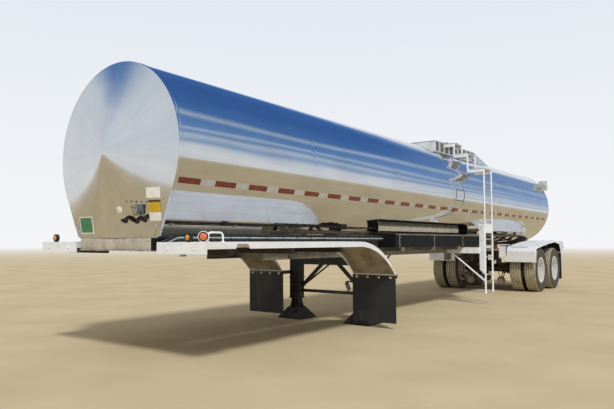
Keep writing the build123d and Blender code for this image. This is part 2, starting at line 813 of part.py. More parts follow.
# Step treads on the stepped frames
with BuildPart() as step_treads:
    for outer_y, inner_y, step_z in zip(step_ys, step_ys[1:], step_zs):
        with Locations((sum(ladder_xs) / 2, (inner_y + outer_y) / 2, step_z + LADDER_RAIL_R)):
            Box(
                LADDER_PITCH_X,
                outer_y - inner_y,
                TREAD_T,
                align=(Align.CENTER, Align.CENTER, Align.MIN),
            )
    add(ladder.part, mode=Mode.SUBTRACT)
    add(spill_dam.part, mode=Mode.SUBTRACT)
step_treads.part.label = "step_treads"
export_step(step_treads.part, "parts/step_treads.step")

# Ladder post, with the outrigger and strut that carry it from the frame rail
post_outer_y = ladder_y - LADDER_RAIL_R / 2
post_inner_y = post_outer_y - POST_W
with BuildPart() as ladder_outrigger:
    with Locations((ladder_xs[0], post_outer_y, POST_BOTTOM_Z)):
        Box(
            POST_T,
            POST_W,
            POST_TOP_Z - POST_BOTTOM_Z,
            align=(Align.CENTER, Align.MAX, Align.MIN),
        )
    chamfer(
        ladder_outrigger.edges().filter_by(Axis.X).group_by(Axis.Z)[0].sort_by(Axis.Y)[0],
        length=POST_CHAMFER,
    )
    for hole_z in POST_HOLE_ZS:
        with Locations((ladder_xs[0], (post_inner_y + post_outer_y) / 2, hole_z)):
            Cylinder(POST_HOLE_R, POST_T, rotation=(0, 90, 0), mode=Mode.SUBTRACT)
    with Locations((ladder_xs[0], rail_outer_y, OUTRIGGER_Z)):
        Box(
            OUTRIGGER_SIZE,
            post_inner_y - rail_outer_y,
            OUTRIGGER_SIZE,
            align=(Align.CENTER, Align.MIN, Align.CENTER),
        )
    bar(
        (ladder_xs[0], STRUT_INNER_Y, OUTRIGGER_Z),
        (ladder_xs[0], ladder_y, STRUT_LOW_Z),
        STRUT_R,
    )
    with BuildSketch(Plane.YZ.offset(ladder_xs[0])):
        with BuildLine():
            Polyline(
                (post_inner_y, POST_TOP_Z - WING_DROP),
                (post_outer_y, POST_TOP_Z - WING_DROP),
                (post_outer_y, POST_TOP_Z),
                (post_inner_y - WING_REACH, POST_TOP_Z + WING_RISE),
            )
            RadiusArc(
                (post_inner_y - WING_REACH, POST_TOP_Z + WING_RISE),
                (post_inner_y, POST_TOP_Z - WING_DROP),
                WING_HOLLOW_R,
            )
        make_face()
    extrude(amount=HEAD_PLATE_T / 2, both=True)
    with Locations((sum(ladder_xs) / 2, ladder_y, POST_TOP_Z + PANEL_RISE)):
        Box(
            LADDER_PITCH_X,
            HEAD_PLATE_T,
            PANEL_H,
            align=(Align.CENTER, Align.CENTER, Align.MAX),
        )
    add(ladder.part, mode=Mode.SUBTRACT)
ladder_outrigger.part.label = "ladder_outrigger"
export_step(ladder_outrigger.part, "parts/ladder_outrigger.step")

with BuildPart() as junction_box:
    with Locations((ladder_xs[0], JUNCTION_Y, OUTRIGGER_Z - OUTRIGGER_SIZE / 2)):
        Box(
            JUNCTION_LEN,
            JUNCTION_W,
            JUNCTION_H,
            align=(Align.CENTER, Align.CENTER, Align.MAX),
        )
junction_box.part.label = "junction_box"
export_step(junction_box.part, "parts/junction_box.step")

# Manway neck with the hinge lugs and pin behind it
neck_top_z = jacket_top_z + NECK_RISE
hinge_z = neck_top_z + LID_T
hinge_x = back(MANWAY_BACK) - LID_R - HINGE_OFFSET
hinge_arm_top_z = neck_top_z - HINGE_GAP
with BuildPart() as manway_neck:
    with Locations((back(MANWAY_BACK), 0, neck_top_z)):
        Cylinder(NECK_R, neck_top_z - axis_z, align=(Align.CENTER, Align.CENTER, Align.MAX))
    for side, sign in SIDES:
        with Locations((hinge_x, sign * HINGE_LUG_Y, hinge_z)):
            Cylinder(HINGE_LUG_R, HINGE_LUG_T, rotation=(90, 0, 0))
            Box(
                2 * HINGE_LUG_R,
                HINGE_LUG_T,
                hinge_z - hinge_arm_top_z + HINGE_LUG_R,
                align=(Align.CENTER, Align.CENTER, Align.MAX),
            )
        with Locations((hinge_x, sign * HINGE_LUG_Y, hinge_arm_top_z)):
            Box(
                LID_R + HINGE_OFFSET - NECK_R + HINGE_LUG_Y,
                HINGE_LUG_T,
                HINGE_LUG_R,
                align=(Align.MIN, Align.CENTER, Align.MAX),
            )
    with Locations((back(MANWAY_BACK), 0, neck_top_z)):
        Cylinder(
            NECK_R - NECK_WALL,
            neck_top_z - axis_z,
            align=(Align.CENTER, Align.CENTER, Align.MAX),
            mode=Mode.SUBTRACT,
        )
    cut_tank()
    with Locations((hinge_x, 0, hinge_z)):
        Cylinder(HINGE_PIN_R, 2 * HINGE_LUG_Y, rotation=(90, 0, 0))
manway_neck.part.label = "manway_neck"
export_step(manway_neck.part, "parts/manway_neck.step")

# Manway lid with its hinge strap
with BuildPart() as manway_lid:
    with BuildSketch(side_plane(0)):
        with BuildLine():
            Polyline(
                (back(MANWAY_BACK), neck_top_z),
                (back(MANWAY_BACK) + LID_R, neck_top_z),
                (back(MANWAY_BACK) + LID_R, neck_top_z + LID_T),
                (back(MANWAY_BACK) + NECK_R, neck_top_z + LID_T),
            )
            RadiusArc(
                (back(MANWAY_BACK) + NECK_R, neck_top_z + LID_T),
                (back(MANWAY_BACK), neck_top_z + LID_CROWN),
                -LID_DISH_R,
            )
            Line(
                (back(MANWAY_BACK), neck_top_z + LID_CROWN),
                (back(MANWAY_BACK), neck_top_z),
            )
        make_face()
    revolve(axis=Axis((back(MANWAY_BACK), 0, 0), (0, 0, 1)))
    strap_y = HINGE_LUG_Y - HINGE_LUG_T / 2 - HINGE_GAP
    with Locations((hinge_x, 0, hinge_z)):
        Cylinder(HINGE_LUG_R, 2 * strap_y, rotation=(90, 0, 0))
    with Locations((hinge_x, 0, neck_top_z + LID_T / 2)):
        Box(
            HINGE_OFFSET + LID_R / 4,
            2 * strap_y,
            LID_T,
            align=(Align.MIN, Align.CENTER, Align.CENTER),
        )
    with Locations((hinge_x, 0, hinge_z)):
        Cylinder(HINGE_PIN_R + PIN_GAP, 2 * HINGE_LUG_Y, rotation=(90, 0, 0), mode=Mode.SUBTRACT)
manway_lid.part.label = "manway_lid"
export_step(manway_lid.part, "parts/manway_lid.step")

# Clamps on the lid's flange
with BuildPart() as manway_clamps:
    with Locations((back(MANWAY_BACK), 0, neck_top_z + LID_T)):
        with PolarLocations((NECK_R + LID_R) / 2, CLAMP_COUNT, start_angle=CLAMP_START):
            Cylinder(CLAMP_R, CLAMP_H, align=(Align.CENTER, Align.CENTER, Align.MIN))
manway_clamps.part.label = "manway_clamps"
export_step(manway_clamps.part, "parts/manway_clamps.step")

# Relief vents and the air inlet inside the dam
with BuildPart() as tank_vents:
    for vent_back, vent_y, vent_r, vent_rise in VENTS:
        with Locations((back(vent_back), vent_y, jacket_top_z + vent_rise)):
            Cylinder(
                vent_r / 2,
                TANK_R + vent_rise,
                align=(Align.CENTER, Align.CENTER, Align.MAX),
            )
            Cylinder(vent_r, vent_r, align=(Align.CENTER, Align.CENTER, Align.MAX))
    cut_tank()
tank_vents.part.label = "tank_vents"
export_step(tank_vents.part, "parts/tank_vents.step")

# Rear fenders: front valance, bevel, low arch and turned-down tail
rear_outline = [(back(axle_backs[axle] + behind), z) for axle, behind, z in REAR_FENDER_OUTLINE]
with BuildPart() as rear_fenders:
    for depth, low_y, width in (
        (FENDER_SHEET, REAR_FENDER_INNER_Y, FENDER_OUTER_Y - REAR_FENDER_INNER_Y),
        (REAR_FENDER_LIP, FENDER_OUTER_Y - FENDER_SHEET, FENDER_SHEET),
        (REAR_FENDER_LIP, REAR_FENDER_INNER_Y, FENDER_SHEET),
    ):
        with BuildSketch(side_plane(low_y)):
            with BuildLine():
                FilletPolyline(*rear_outline, radius=REAR_FENDER_ROUND)
                offset(amount=depth, side=Side.LEFT)
            make_face()
        extrude(amount=-width)
    mirror(rear_fenders.part, about=Plane.XZ)
rear_fenders.part.label = "rear_fenders"
export_step(rear_fenders.part, "parts/rear_fenders.step")

# Arms that carry the rear fenders: behind the valance, between the axles and at the tail
valance_x, valance_z = rear_outline[1]
arch_x, arch_z = rear_outline[3]
rear_tail_x, rear_tail_z = rear_outline[-1]
with BuildPart() as rear_arms:
    for arm_x, arm_z in (
        (valance_x - FENDER_SHEET - ARM_SIZE / 2, valance_z - REAR_FENDER_ROUND),
        (arch_x, arch_z - REAR_FENDER_LIP * 3 / 4),
        (rear_tail_x + FENDER_SHEET + ARM_SIZE / 2, rear_tail_z + REAR_FENDER_LIP),
    ):
        for side, sign in SIDES:
            arm_outer_y = FENDER_OUTER_Y - FENDER_SHEET
            with Locations((arm_x, sign * (rail_outer_y + arm_outer_y) / 2, arm_z)):
                Box(
                    ARM_SIZE,
                    arm_outer_y - rail_outer_y,
                    ARM_SIZE,
                    align=(Align.CENTER, Align.CENTER, Align.MAX),
                )
    add(rear_fenders.part, mode=Mode.SUBTRACT)
rear_arms.part.label = "rear_fender_arms"
export_step(rear_arms.part, "parts/rear_fender_arms.step")

# Rear mudflaps, bolted behind the fender tails
rear_flap_top_z = rear_tail_z + REAR_FENDER_LIP
with BuildPart() as rear_mudflaps:
    for side, sign in SIDES:
        with Locations((rear_tail_x, sign * flap_y, rear_flap_top_z)):
            Box(
                FLAP_T,
                FLAP_W - 2 * FENDER_SHEET,
                rear_flap_top_z - REAR_FLAP_BOTTOM_Z,
                align=(Align.MAX, Align.CENTER, Align.MAX),
            )
rear_mudflaps.part.label = "rear_mudflaps"
export_step(rear_mudflaps.part, "parts/rear_mudflaps.step")

# Suspension subframe under the rails, with the spring hangers and their cross tubes
spring_top_z = TYRE_R + SPRING_RISE
front_hanger_back = axle_backs[0] - HANGER_REACH
rear_hanger_back = axle_backs[1] + HANGER_REACH
with BuildPart() as subframe:
    for side, sign in SIDES:
        with Locations((back(BOGIE_BACK), sign * RAIL_Y, rail_bottom_z)):
            Box(
                rear_hanger_back - front_hanger_back + 2 * SUBFRAME_OVERHANG,
                RAIL_FLANGE,
                SUBFRAME_HEIGHT,
                align=(Align.CENTER, Align.CENTER, Align.MAX),
            )
        for hanger_back, hanger_bottom_z in (
            (front_hanger_back, spring_top_z),
            (BOGIE_BACK, spring_top_z + EQUALISER_H),
            (rear_hanger_back, spring_top_z),
        ):
            with Locations((back(hanger_back), sign * RAIL_Y, rail_bottom_z)):
                Box(
                    HANGER_LEN,
                    RAIL_FLANGE,
                    rail_bottom_z - hanger_bottom_z,
                    align=(Align.CENTER, Align.CENTER, Align.MAX),
                )
    for hanger_back in (front_hanger_back, BOGIE_BACK, rear_hanger_back):
        with Locations((back(hanger_back), 0, rail_bottom_z - SUBFRAME_HEIGHT / 2)):
            Box(CROSS_W, 2 * RAIL_Y, SUBFRAME_HEIGHT / 2)
subframe.part.label = "suspension_subframe"
export_step(subframe.part, "parts/suspension_subframe.step")

# Equalisers between the two springs of each side
with BuildPart() as equalisers:
    for side, sign in SIDES:
        with BuildSketch(side_plane(sign * RAIL_Y)):
            with Locations((back(BOGIE_BACK), spring_top_z)):
                Trapezoid(
                    2 * EQUALISER_HALF_LEN,
                    EQUALISER_H,
                    EQUALISER_ANGLE,
                    align=(Align.CENTER, Align.MIN),
                )
        extrude(amount=RAIL_FLANGE / 2, both=True)
equalisers.part.label = "spring_equalisers"
export_step(equalisers.part, "parts/spring_equalisers.step")

# Leaf springs, sagging over the axles
leaf_tip_z = spring_top_z - LEAF_TIP
seat_top_z = spring_top_z - SPRING_SAG - SPRING_STACK
with BuildPart() as springs:
    for axle_back in axle_backs:
        spring_front_x = back(axle_back - SPRING_LEN / 2)
        spring_rear_x = back(axle_back + SPRING_LEN / 2)
        for side, sign in SIDES:
            with BuildSketch(side_plane(sign * RAIL_Y)):
                with BuildLine():
                    ThreePointArc(
                        (spring_front_x, spring_top_z),
                        (back(axle_back), spring_top_z - SPRING_SAG),
                        (spring_rear_x, spring_top_z),
                    )
                    Line((spring_rear_x, spring_top_z), (spring_rear_x, leaf_tip_z))
                    ThreePointArc(
                        (spring_rear_x, leaf_tip_z),
                        (back(axle_back), seat_top_z),
                        (spring_front_x, leaf_tip_z),
                    )
                    Line((spring_front_x, leaf_tip_z), (spring_front_x, spring_top_z))
                make_face()
            extrude(amount=RAIL_FLANGE / 2, both=True)
springs.part.label = "leaf_springs"
export_step(springs.part, "parts/leaf_springs.step")

# Axles: a tube with a spindle at each end, and the seats under the springs
with BuildPart() as axles:
    for axle_back in axle_backs:
        with Locations((back(axle_back), 0, TYRE_R)):
            Cylinder(AXLE_TUBE_R, 2 * AXLE_TUBE_HALF, rotation=(90, 0, 0))
            Cylinder(SPINDLE_R, 2 * SPINDLE_HALF, rotation=(90, 0, 0))
        for side, sign in SIDES:
            with Locations((back(axle_back), sign * RAIL_Y, seat_top_z)):
                Box(
                    SEAT_LEN,
                    RAIL_FLANGE,
                    seat_top_z - TYRE_R,
                    align=(Align.CENTER, Align.CENTER, Align.MAX),
                )
axles.part.label = "axles"
export_step(axles.part, "parts/axles.step")

# Brake chambers ahead of the axles, each on an arm from the axle tube
with BuildPart() as brake_chambers:
    for axle_back in axle_backs:
        for side, sign in SIDES:
            chamber = (back(axle_back) + CHAMBER_FORWARD, sign * CHAMBER_Y, CHAMBER_Z)
            with Locations(chamber):
                Cylinder(CHAMBER_R, CHAMBER_LEN, rotation=(0, 90, 0))
            box_bar(
                (back(axle_back), sign * CHAMBER_Y, TYRE_R),
                chamber,
                CHAMBER_ARM_W,
                CHAMBER_ARM_T,
            )
    add(axles.part, mode=Mode.SUBTRACT)
brake_chambers.part.label = "brake_chambers"
export_step(brake_chambers.part, "parts/brake_chambers.step")

# Torque rods from the cross tubes back and down to the axle tubes
with BuildPart() as torque_rods:
    for rod_start_back, axle_back in zip((front_hanger_back, BOGIE_BACK), axle_backs):
        for side, sign in SIDES:
            bar(
                (back(rod_start_back), sign * TORQUE_ROD_Y, rail_bottom_z - SUBFRAME_HEIGHT),
                (back(axle_back), sign * TORQUE_ROD_Y, TYRE_R),
                TORQUE_ROD_R,
            )
    add(axles.part, mode=Mode.SUBTRACT)
    add(subframe.part, mode=Mode.SUBTRACT)
torque_rods.part.label = "torque_rods"
export_step(torque_rods.part, "parts/torque_rods.step")

# Wheels: both rims of a pair on one hub with the brake drum, and the twin tyres
outer_tyre_y = TYRE_OUTER_Y - TYRE_W / 2
inner_tyre_y = outer_tyre_y - DUAL_SPACING
mate_y = (outer_tyre_y + inner_tyre_y) / 2
rim_out_y = outer_tyre_y + RIM_HALF_W
rim_in_y = inner_tyre_y - RIM_HALF_W
rim_inner_r = RIM_R - RIM_T
drum_in_y = AXLE_TUBE_HALF + DRUM_CLEARANCE
drum_out_y = drum_in_y + DRUM_LEN
hub_bore_r = SPINDLE_R + HUB_GAP
hub_in_y = drum_in_y + DRUM_CLEARANCE
bore_end_y = SPINDLE_HALF + HUB_GAP
wheel_outline = (
    (0, bore_end_y),
    (hub_bore_r, bore_end_y),
    (hub_bore_r, hub_in_y),
    (hub_bore_r + HUB_WALL, hub_in_y),
    (hub_bore_r + HUB_WALL, drum_out_y - DRUM_WALL),
    (DRUM_R - DRUM_WALL, drum_out_y - DRUM_WALL),
    (DRUM_R - DRUM_WALL, drum_in_y),
    (DRUM_R, drum_in_y),
    (DRUM_R, drum_out_y),
    (HUB_R, drum_out_y),
    (HUB_R, mate_y - DISC_T / 2),
    (rim_inner_r, mate_y - DISC_T / 2),
    (rim_inner_r, rim_in_y - RIM_LIP_T),
    (RIM_LIP_R, rim_in_y - RIM_LIP_T),
    (RIM_LIP_R, rim_in_y),
    (RIM_R, rim_in_y),
    (RIM_R, rim_out_y),
    (RIM_LIP_R, rim_out_y),
    (RIM_LIP_R, rim_out_y + RIM_LIP_T),
    (rim_inner_r, rim_out_y + RIM_LIP_T),
    (rim_inner_r, mate_y + DISC_T / 2),
    (HUB_R, mate_y + DISC_T / 2),
    (HUB_R, HUB_FACE_Y),
    (HUB_CAP_R, HUB_FACE_Y),
    (HUB_CAP_R, HUB_CAP_Y),
    (0, HUB_CAP_Y),
)
tread_half_w = TYRE_W / 2 - SHOULDER
tyre_outline = (
    (RIM_R, -RIM_HALF_W),
    (RIM_R + BEAD_H, -RIM_HALF_W),
    (TYRE_MID_R, -TYRE_W / 2),
    (TYRE_R - SHOULDER, -TYRE_W / 2 + SHOULDER / 3),
    (TYRE_R, -tread_half_w),
    (TYRE_R, tread_half_w),
    (TYRE_R - SHOULDER, TYRE_W / 2 - SHOULDER / 3),
    (TYRE_MID_R, TYRE_W / 2),
    (RIM_R + BEAD_H, RIM_HALF_W),
    (RIM_R, RIM_HALF_W),
)
for axle_name, axle_back in zip(("front", "rear"), axle_backs):
    axle_plane = Plane(origin=(back(axle_back), 0, TYRE_R), x_dir=(1, 0, 0), z_dir=(0, 0, 1))
    axle_line = Axis((back(axle_back), 0, TYRE_R), (0, 1, 0))
    for side, sign in SIDES:
        disc_plane = Plane(origin=(back(axle_back), sign * mate_y, TYRE_R), z_dir=(0, 1, 0))
        with BuildPart() as wheel:
            with BuildSketch(axle_plane):
                with BuildLine():
                    Polyline(*[(r, sign * y) for r, y in wheel_outline], close=True)
                make_face()
            revolve(axis=axle_line)
            with Locations(disc_plane):
                with PolarLocations(HAND_HOLE_PCR, HAND_HOLE_COUNT):
                    Cylinder(HAND_HOLE_R, 2 * DISC_T, mode=Mode.SUBTRACT)
        wheel.part.label = f"wheel_{axle_name}_{side}"
        export_step(wheel.part, f"parts/wheel_{axle_name}_{side}.step")
        with BuildPart() as tyres:
            for tyre_y in (outer_tyre_y, inner_tyre_y):
                with BuildSketch(axle_plane):
                    with BuildLine():
                        Polyline(*[(r, sign * (tyre_y + y)) for r, y in tyre_outline], close=True)
                    make_face()
                revolve(axis=axle_line)
        tyres.part.label = f"tyres_{axle_name}_{side}"
        export_step(tyres.part, f"parts/tyres_{axle_name}_{side}.step")

# Rear bumper on two posts under the rail ends
rail_end_x = back(rail_end_back)
with BuildPart() as rear_bumper:
    with Locations((rail_end_x, 0, BUMPER_Z)):
        Box(
            BUMPER_SIZE,
            2 * BUMPER_HALF_W,
            BUMPER_SIZE,
            align=(Align.MAX, Align.CENTER, Align.CENTER),
        )
    for side, sign in SIDES:
        with Locations((rail_end_x, sign * RAIL_Y, rail_bottom_z)):
            Box(
                BUMPER_POST,
                RAIL_FLANGE,
                rail_bottom_z - BUMPER_Z + BUMPER_SIZE / 2,
                align=(Align.MIN, Align.CENTER, Align.MAX),
            )
rear_bumper.part.label = "rear_bumper"
export_step(rear_bumper.part, "parts/rear_bumper.step")

# Tail lamp boxes on arms from the rails, and the lamps in them
tail_box_x = rail_end_x + TAIL_BOX_INSET
tail_box_y = TAIL_BOX_OUTER_Y - TAIL_BOX_W / 2
tail_arm_y = TAIL_BOX_OUTER_Y - TAIL_BOX_W
with BuildPart() as tail_boxes:
    for side, sign in SIDES:
        with Locations((tail_box_x, sign * tail_box_y, TAIL_BOX_Z)):
            Box(
                TAIL_BOX_LEN,
                TAIL_BOX_W,
                TAIL_BOX_H,
                align=(Align.MAX, Align.CENTER, Align.CENTER),
            )
        with Locations((tail_box_x, sign * (rail_outer_y + tail_arm_y) / 2, TAIL_BOX_Z)):
            Box(
                ARM_SIZE,
                tail_arm_y - rail_outer_y,
                ARM_SIZE,
                align=(Align.MAX, Align.CENTER, Align.CENTER),
            )
tail_boxes.part.label = "tail_lamp_housings"
export_step(tail_boxes.part, "parts/tail_lamp_housings.step")

with BuildPart() as tail_lamps:
    for side, sign in SIDES:
        for shift in (1, -1):
            lamp_y = sign * tail_box_y + shift * TAIL_BOX_W / 4
            with Locations((tail_box_x - TAIL_BOX_LEN, lamp_y, TAIL_BOX_Z)):
                Cylinder(
                    TAIL_LAMP_R,
                    TAIL_LAMP_T,
                    rotation=(0, 90, 0),
                    align=(Align.CENTER, Align.CENTER, Align.MAX),
                )
tail_lamps.part.label = "tail_lamps"
export_step(tail_lamps.part, "parts/tail_lamps.step")

# Marker boxes on the shoulders of the rear rim, trimmed to the jacket
rim_box_y, rim_box_z = rim_place(-RIM_BOX_PROUD, -RIM_BOX_ANGLE)
with BuildPart() as rim_boxes:
    for side, sign in SIDES:
        with Locations((RIM_BOX_LEN / 2 - HALF, sign * rim_box_y, rim_box_z)):
            Box(RIM_BOX_LEN, RIM_BOX_W, RIM_BOX_H)
    cut_tank()
rim_boxes.part.label = "rear_rim_boxes"
export_step(rim_boxes.part, "parts/rear_rim_boxes.step")

# Outlet under the rear of the tank: pipe, elbow and valve body with its lever
outlet_x = rail_end_x + OUTLET_INSET
outlet_end_x = outlet_x - OUTLET_REACH
with BuildPart() as outlet_valve:
    bar((outlet_x, 0, OUTLET_Z), (outlet_x, 0, axis_z), OUTLET_R)
    bar((outlet_x, 0, OUTLET_Z), (outlet_end_x, 0, OUTLET_Z), OUTLET_R)
    with Locations((outlet_x, 0, OUTLET_Z)):
        Sphere(OUTLET_R)
    with Locations(((outlet_x + outlet_end_x) / 2, 0, OUTLET_Z)):
        Cylinder(VALVE_R, VALVE_LEN, rotation=(0, 90, 0))
        Box(
            VALVE_LEN / 3,
            VALVE_LEN / 3,
            2 * VALVE_R,
            align=(Align.CENTER, Align.CENTER, Align.MAX),
        )
    cut_tank()
outlet_valve.part.label = "outlet_valve"
export_step(outlet_valve.part, "parts/outlet_valve.step")

# Cap on the outlet's end, with its two cam ears
with BuildPart() as outlet_cap:
    with Locations((outlet_end_x, 0, OUTLET_Z)):
        Cylinder(
            CAP_R,
            CAP_LEN,
            rotation=(0, 90, 0),
            align=(Align.CENTER, Align.CENTER, Align.MAX),
        )
        Box(
            CAP_EAR,
            2 * (CAP_R + CAP_EAR),
            CAP_EAR,
            align=(Align.MAX, Align.CENTER, Align.CENTER),
        )
outlet_cap.part.label = "outlet_cap"
export_step(outlet_cap.part, "parts/outlet_cap.step")

# Bracket plates on arms from the rails, ahead of the rear fenders
with BuildPart() as brackets:
    for side, sign in SIDES:
        with Locations((back(BRACKET_BACK), sign * (rail_outer_y + BRACKET_INNER_Y) / 2, RAIL_TOP_Z)):
            Box(
                ARM_SIZE,
                BRACKET_INNER_Y - rail_outer_y,
                ARM_SIZE,
                align=(Align.CENTER, Align.CENTER, Align.MAX),
            )
        with Locations(
            (
                back(BRACKET_BACK),
                sign * (BRACKET_INNER_Y + BRACKET_W / 2),
                RAIL_TOP_Z - BRACKET_DROP,
            )
        ):
            Box(
                BRACKET_T,
                BRACKET_W,
                BRACKET_H,
                align=(Align.CENTER, Align.CENTER, Align.MAX),
            )
brackets.part.label = "side_brackets"
export_step(brackets.part, "parts/side_brackets.step")

# Lamps on the front of the bracket arms
with BuildPart() as side_lamps:
    for side, sign in SIDES:
        with Locations(
            (back(BRACKET_BACK) + ARM_SIZE / 2, sign * SIDE_LAMP_Y, RAIL_TOP_Z - ARM_SIZE / 2)
        ):
            Cylinder(
                SIDE_LAMP_R,
                SIDE_LAMP_T,
                rotation=(0, 90, 0),
                align=(Align.CENTER, Align.CENTER, Align.MIN),
            )
side_lamps.part.label = "side_lamps"
export_step(side_lamps.part, "parts/side_lamps.step")

# Air and electric couplings on the front apron
coupling_y, coupling_z = rim_place(COUPLING_INSET, COUPLING_ANGLE)
with BuildPart() as front_couplings:
    with Locations((HALF, coupling_y, coupling_z)):
        Box(COUPLING_STANDOFF, COUPLING_W, COUPLING_H, align=(Align.MIN, Align.CENTER, Align.CENTER))
    for side, sign in SIDES:
        with Locations((HALF + COUPLING_STANDOFF, coupling_y + sign * COUPLING_W / 3, coupling_z)):
            Cylinder(
                GLADHAND_R,
                GLADHAND_LEN,
                rotation=(0, 90, 0),
                align=(Align.CENTER, Align.CENTER, Align.MIN),
            )
    with Locations((HALF, coupling_y, coupling_z + COUPLING_H)):
        Box(COUPLING_STANDOFF, COUPLING_H, COUPLING_H, align=(Align.MIN, Align.CENTER, Align.CENTER))
    add(front_head.part, mode=Mode.SUBTRACT)
front_couplings.part.label = "front_couplings"
export_step(front_couplings.part, "parts/front_couplings.step")

# Blank plates on the front head
with BuildPart() as front_plates:
    for sign, plate_inset, plate_angle, plate_w, plate_h in FRONT_PLATES:
        plate_y, plate_z = rim_place(plate_inset, plate_angle)
        plate_x = HALF + HEAD_DEPTH * max(0, plate_inset) / TANK_R
        with Locations((plate_x, sign * plate_y, plate_z)):
            Box(PLATE_T, plate_w, plate_h)
    add(front_head.part, mode=Mode.SUBTRACT)
front_plates.part.label = "front_plates"
export_step(front_plates.part, "parts/front_plates.step")

# Marker lamps standing on the front fenders
with BuildPart() as front_lamps:
    for sign, lamp_back, lamp_y, lamp_r, outward in FRONT_LAMPS:
        lamp_spot = (back(lamp_back), sign * lamp_y, FENDER_TOP_Z + lamp_r)
        with Locations(Location(lamp_spot, (0, 0, sign * outward))):
            Cylinder(lamp_r, LAMP_T, rotation=(0, 90, 0))
            Box(
                LAMP_T,
                lamp_r,
                lamp_r,
                align=(Align.CENTER, Align.CENTER, Align.MAX),
            )
front_lamps.part.label = "front_marker_lamps"
export_step(front_lamps.part, "parts/front_marker_lamps.step")

with BuildPart() as lamp_guard:
    with BuildLine() as hoop:
        FilletPolyline(
            (back(HOOP_FRONT_BACK), HOOP_Y, FENDER_TOP_Z),
            (back(HOOP_FRONT_BACK), HOOP_Y, FENDER_TOP_Z + HOOP_RISE),
            (back(HOOP_REAR_BACK), HOOP_Y, FENDER_TOP_Z + HOOP_RISE),
            (back(HOOP_REAR_BACK), HOOP_Y, FENDER_TOP_Z),
            radius=HOOP_BEND_R,
        )
    with BuildSketch(Plane(origin=hoop.line @ 0, z_dir=hoop.line % 0)) as hoop_section:
        Circle(HOOP_R)
    sweep(hoop_section.sketch, path=hoop.line)
lamp_guard.part.label = "lamp_guard"
export_step(lamp_guard.part, "parts/lamp_guard.step")


def side_line(line_z, radius):
    """A line along the left side, from below the coupler up and back to the hose tray."""
    with BuildLine() as run:
        FilletPolyline(
            (back(LINE_START_BACK), LINE_Y + LINE_SPREAD, line_z - LINE_DROP),
            (back(LINE_START_BACK + LINE_RISE), LINE_Y, line_z),
            (back(TRAY_START_BACK), LINE_Y, line_z),
            radius=LINE_BEND_R,
        )
    with BuildSketch(Plane(origin=run.line @ 0, z_dir=run.line % 0)) as section:
        Circle(radius)
    sweep(section.sketch, path=run.line)


# Hoses and the conduit along the left side
with BuildPart() as air_lines:
    for hose_z in HOSE_ZS:
        side_line(hose_z, HOSE_R)
air_lines.part.label = "air_lines"
export_step(air_lines.part, "parts/air_lines.step")

with BuildPart() as conduit:
    side_line(CONDUIT_Z, CONDUIT_R)
conduit.part.label = "line_conduit"
export_step(conduit.part, "parts/line_conduit.step")

# Clips that hold the lines, standing on the left fender arms
with BuildPart() as line_clips:
    for arm_back in ARM_BACKS:
        with Locations((back(arm_back), LINE_Y, arm_top_z)):
            Box(
                CLIP_LEN,
                CLIP_W,
                HOSE_ZS[0] - arm_top_z,
                align=(Align.CENTER, Align.MAX, Align.MIN),
            )
    add(air_lines.part, mode=Mode.SUBTRACT)
    add(conduit.part, mode=Mode.SUBTRACT)
line_clips.part.label = "line_clips"
export_step(line_clips.part, "parts/line_clips.step")
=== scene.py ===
"""Looks of the tank semi-trailer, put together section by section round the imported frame.

Metres, +X forward, +Y the trailer's left side. Names that end in _MM hold millimetres.
"""

from math import atan2, cos, hypot, pi, radians, sin, sqrt, tan

import bmesh
import bpy
from mathutils import Matrix, Vector, noise


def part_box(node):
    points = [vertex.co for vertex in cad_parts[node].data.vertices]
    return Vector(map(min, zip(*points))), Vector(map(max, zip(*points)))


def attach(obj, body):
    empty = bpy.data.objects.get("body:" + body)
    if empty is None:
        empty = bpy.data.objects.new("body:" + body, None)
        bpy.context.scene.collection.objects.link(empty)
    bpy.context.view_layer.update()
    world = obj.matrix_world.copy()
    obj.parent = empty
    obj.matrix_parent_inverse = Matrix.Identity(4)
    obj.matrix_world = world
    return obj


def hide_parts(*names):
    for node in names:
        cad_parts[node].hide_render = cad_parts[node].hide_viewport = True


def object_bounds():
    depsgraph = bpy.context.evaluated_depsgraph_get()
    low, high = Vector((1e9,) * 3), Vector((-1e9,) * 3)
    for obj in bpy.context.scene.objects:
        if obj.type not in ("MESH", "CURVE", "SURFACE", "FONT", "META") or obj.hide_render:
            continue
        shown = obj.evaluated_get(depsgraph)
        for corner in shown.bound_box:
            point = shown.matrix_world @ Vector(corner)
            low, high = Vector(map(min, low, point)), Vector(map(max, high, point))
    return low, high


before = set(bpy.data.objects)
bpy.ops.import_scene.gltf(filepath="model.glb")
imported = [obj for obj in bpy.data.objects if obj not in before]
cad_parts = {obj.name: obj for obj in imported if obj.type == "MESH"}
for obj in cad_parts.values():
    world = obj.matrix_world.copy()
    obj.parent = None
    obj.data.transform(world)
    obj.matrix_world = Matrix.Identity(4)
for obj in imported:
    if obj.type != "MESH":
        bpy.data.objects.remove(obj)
cad_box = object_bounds()
scene = bpy.context.scene
scene.view_settings.view_transform = "Standard"

# Camera: held 1.2 m over the ground, ahead of the trailer's left front corner, looking back along
# it. Its place, aim and focal length were solved from the tank's front circle and the wheels.
PICTURE_W = 614
SENSOR_MM = 36.0
FOCAL_PX = 599.16
CAMERA_AT = (10.2635, 5.0647, 1.1955)
CAMERA_TOWARD = Vector((-0.80935, -0.58427, 0.05992))
camera_data = bpy.data.cameras.new("camera")
camera_data.sensor_width = SENSOR_MM
camera_data.lens = FOCAL_PX / PICTURE_W * SENSOR_MM
camera = bpy.data.objects.new("camera", camera_data)
camera.location = CAMERA_AT
camera.rotation_euler = CAMERA_TOWARD.to_track_quat("-Z", "Y").to_euler()
scene.collection.objects.link(camera)
scene.camera = camera

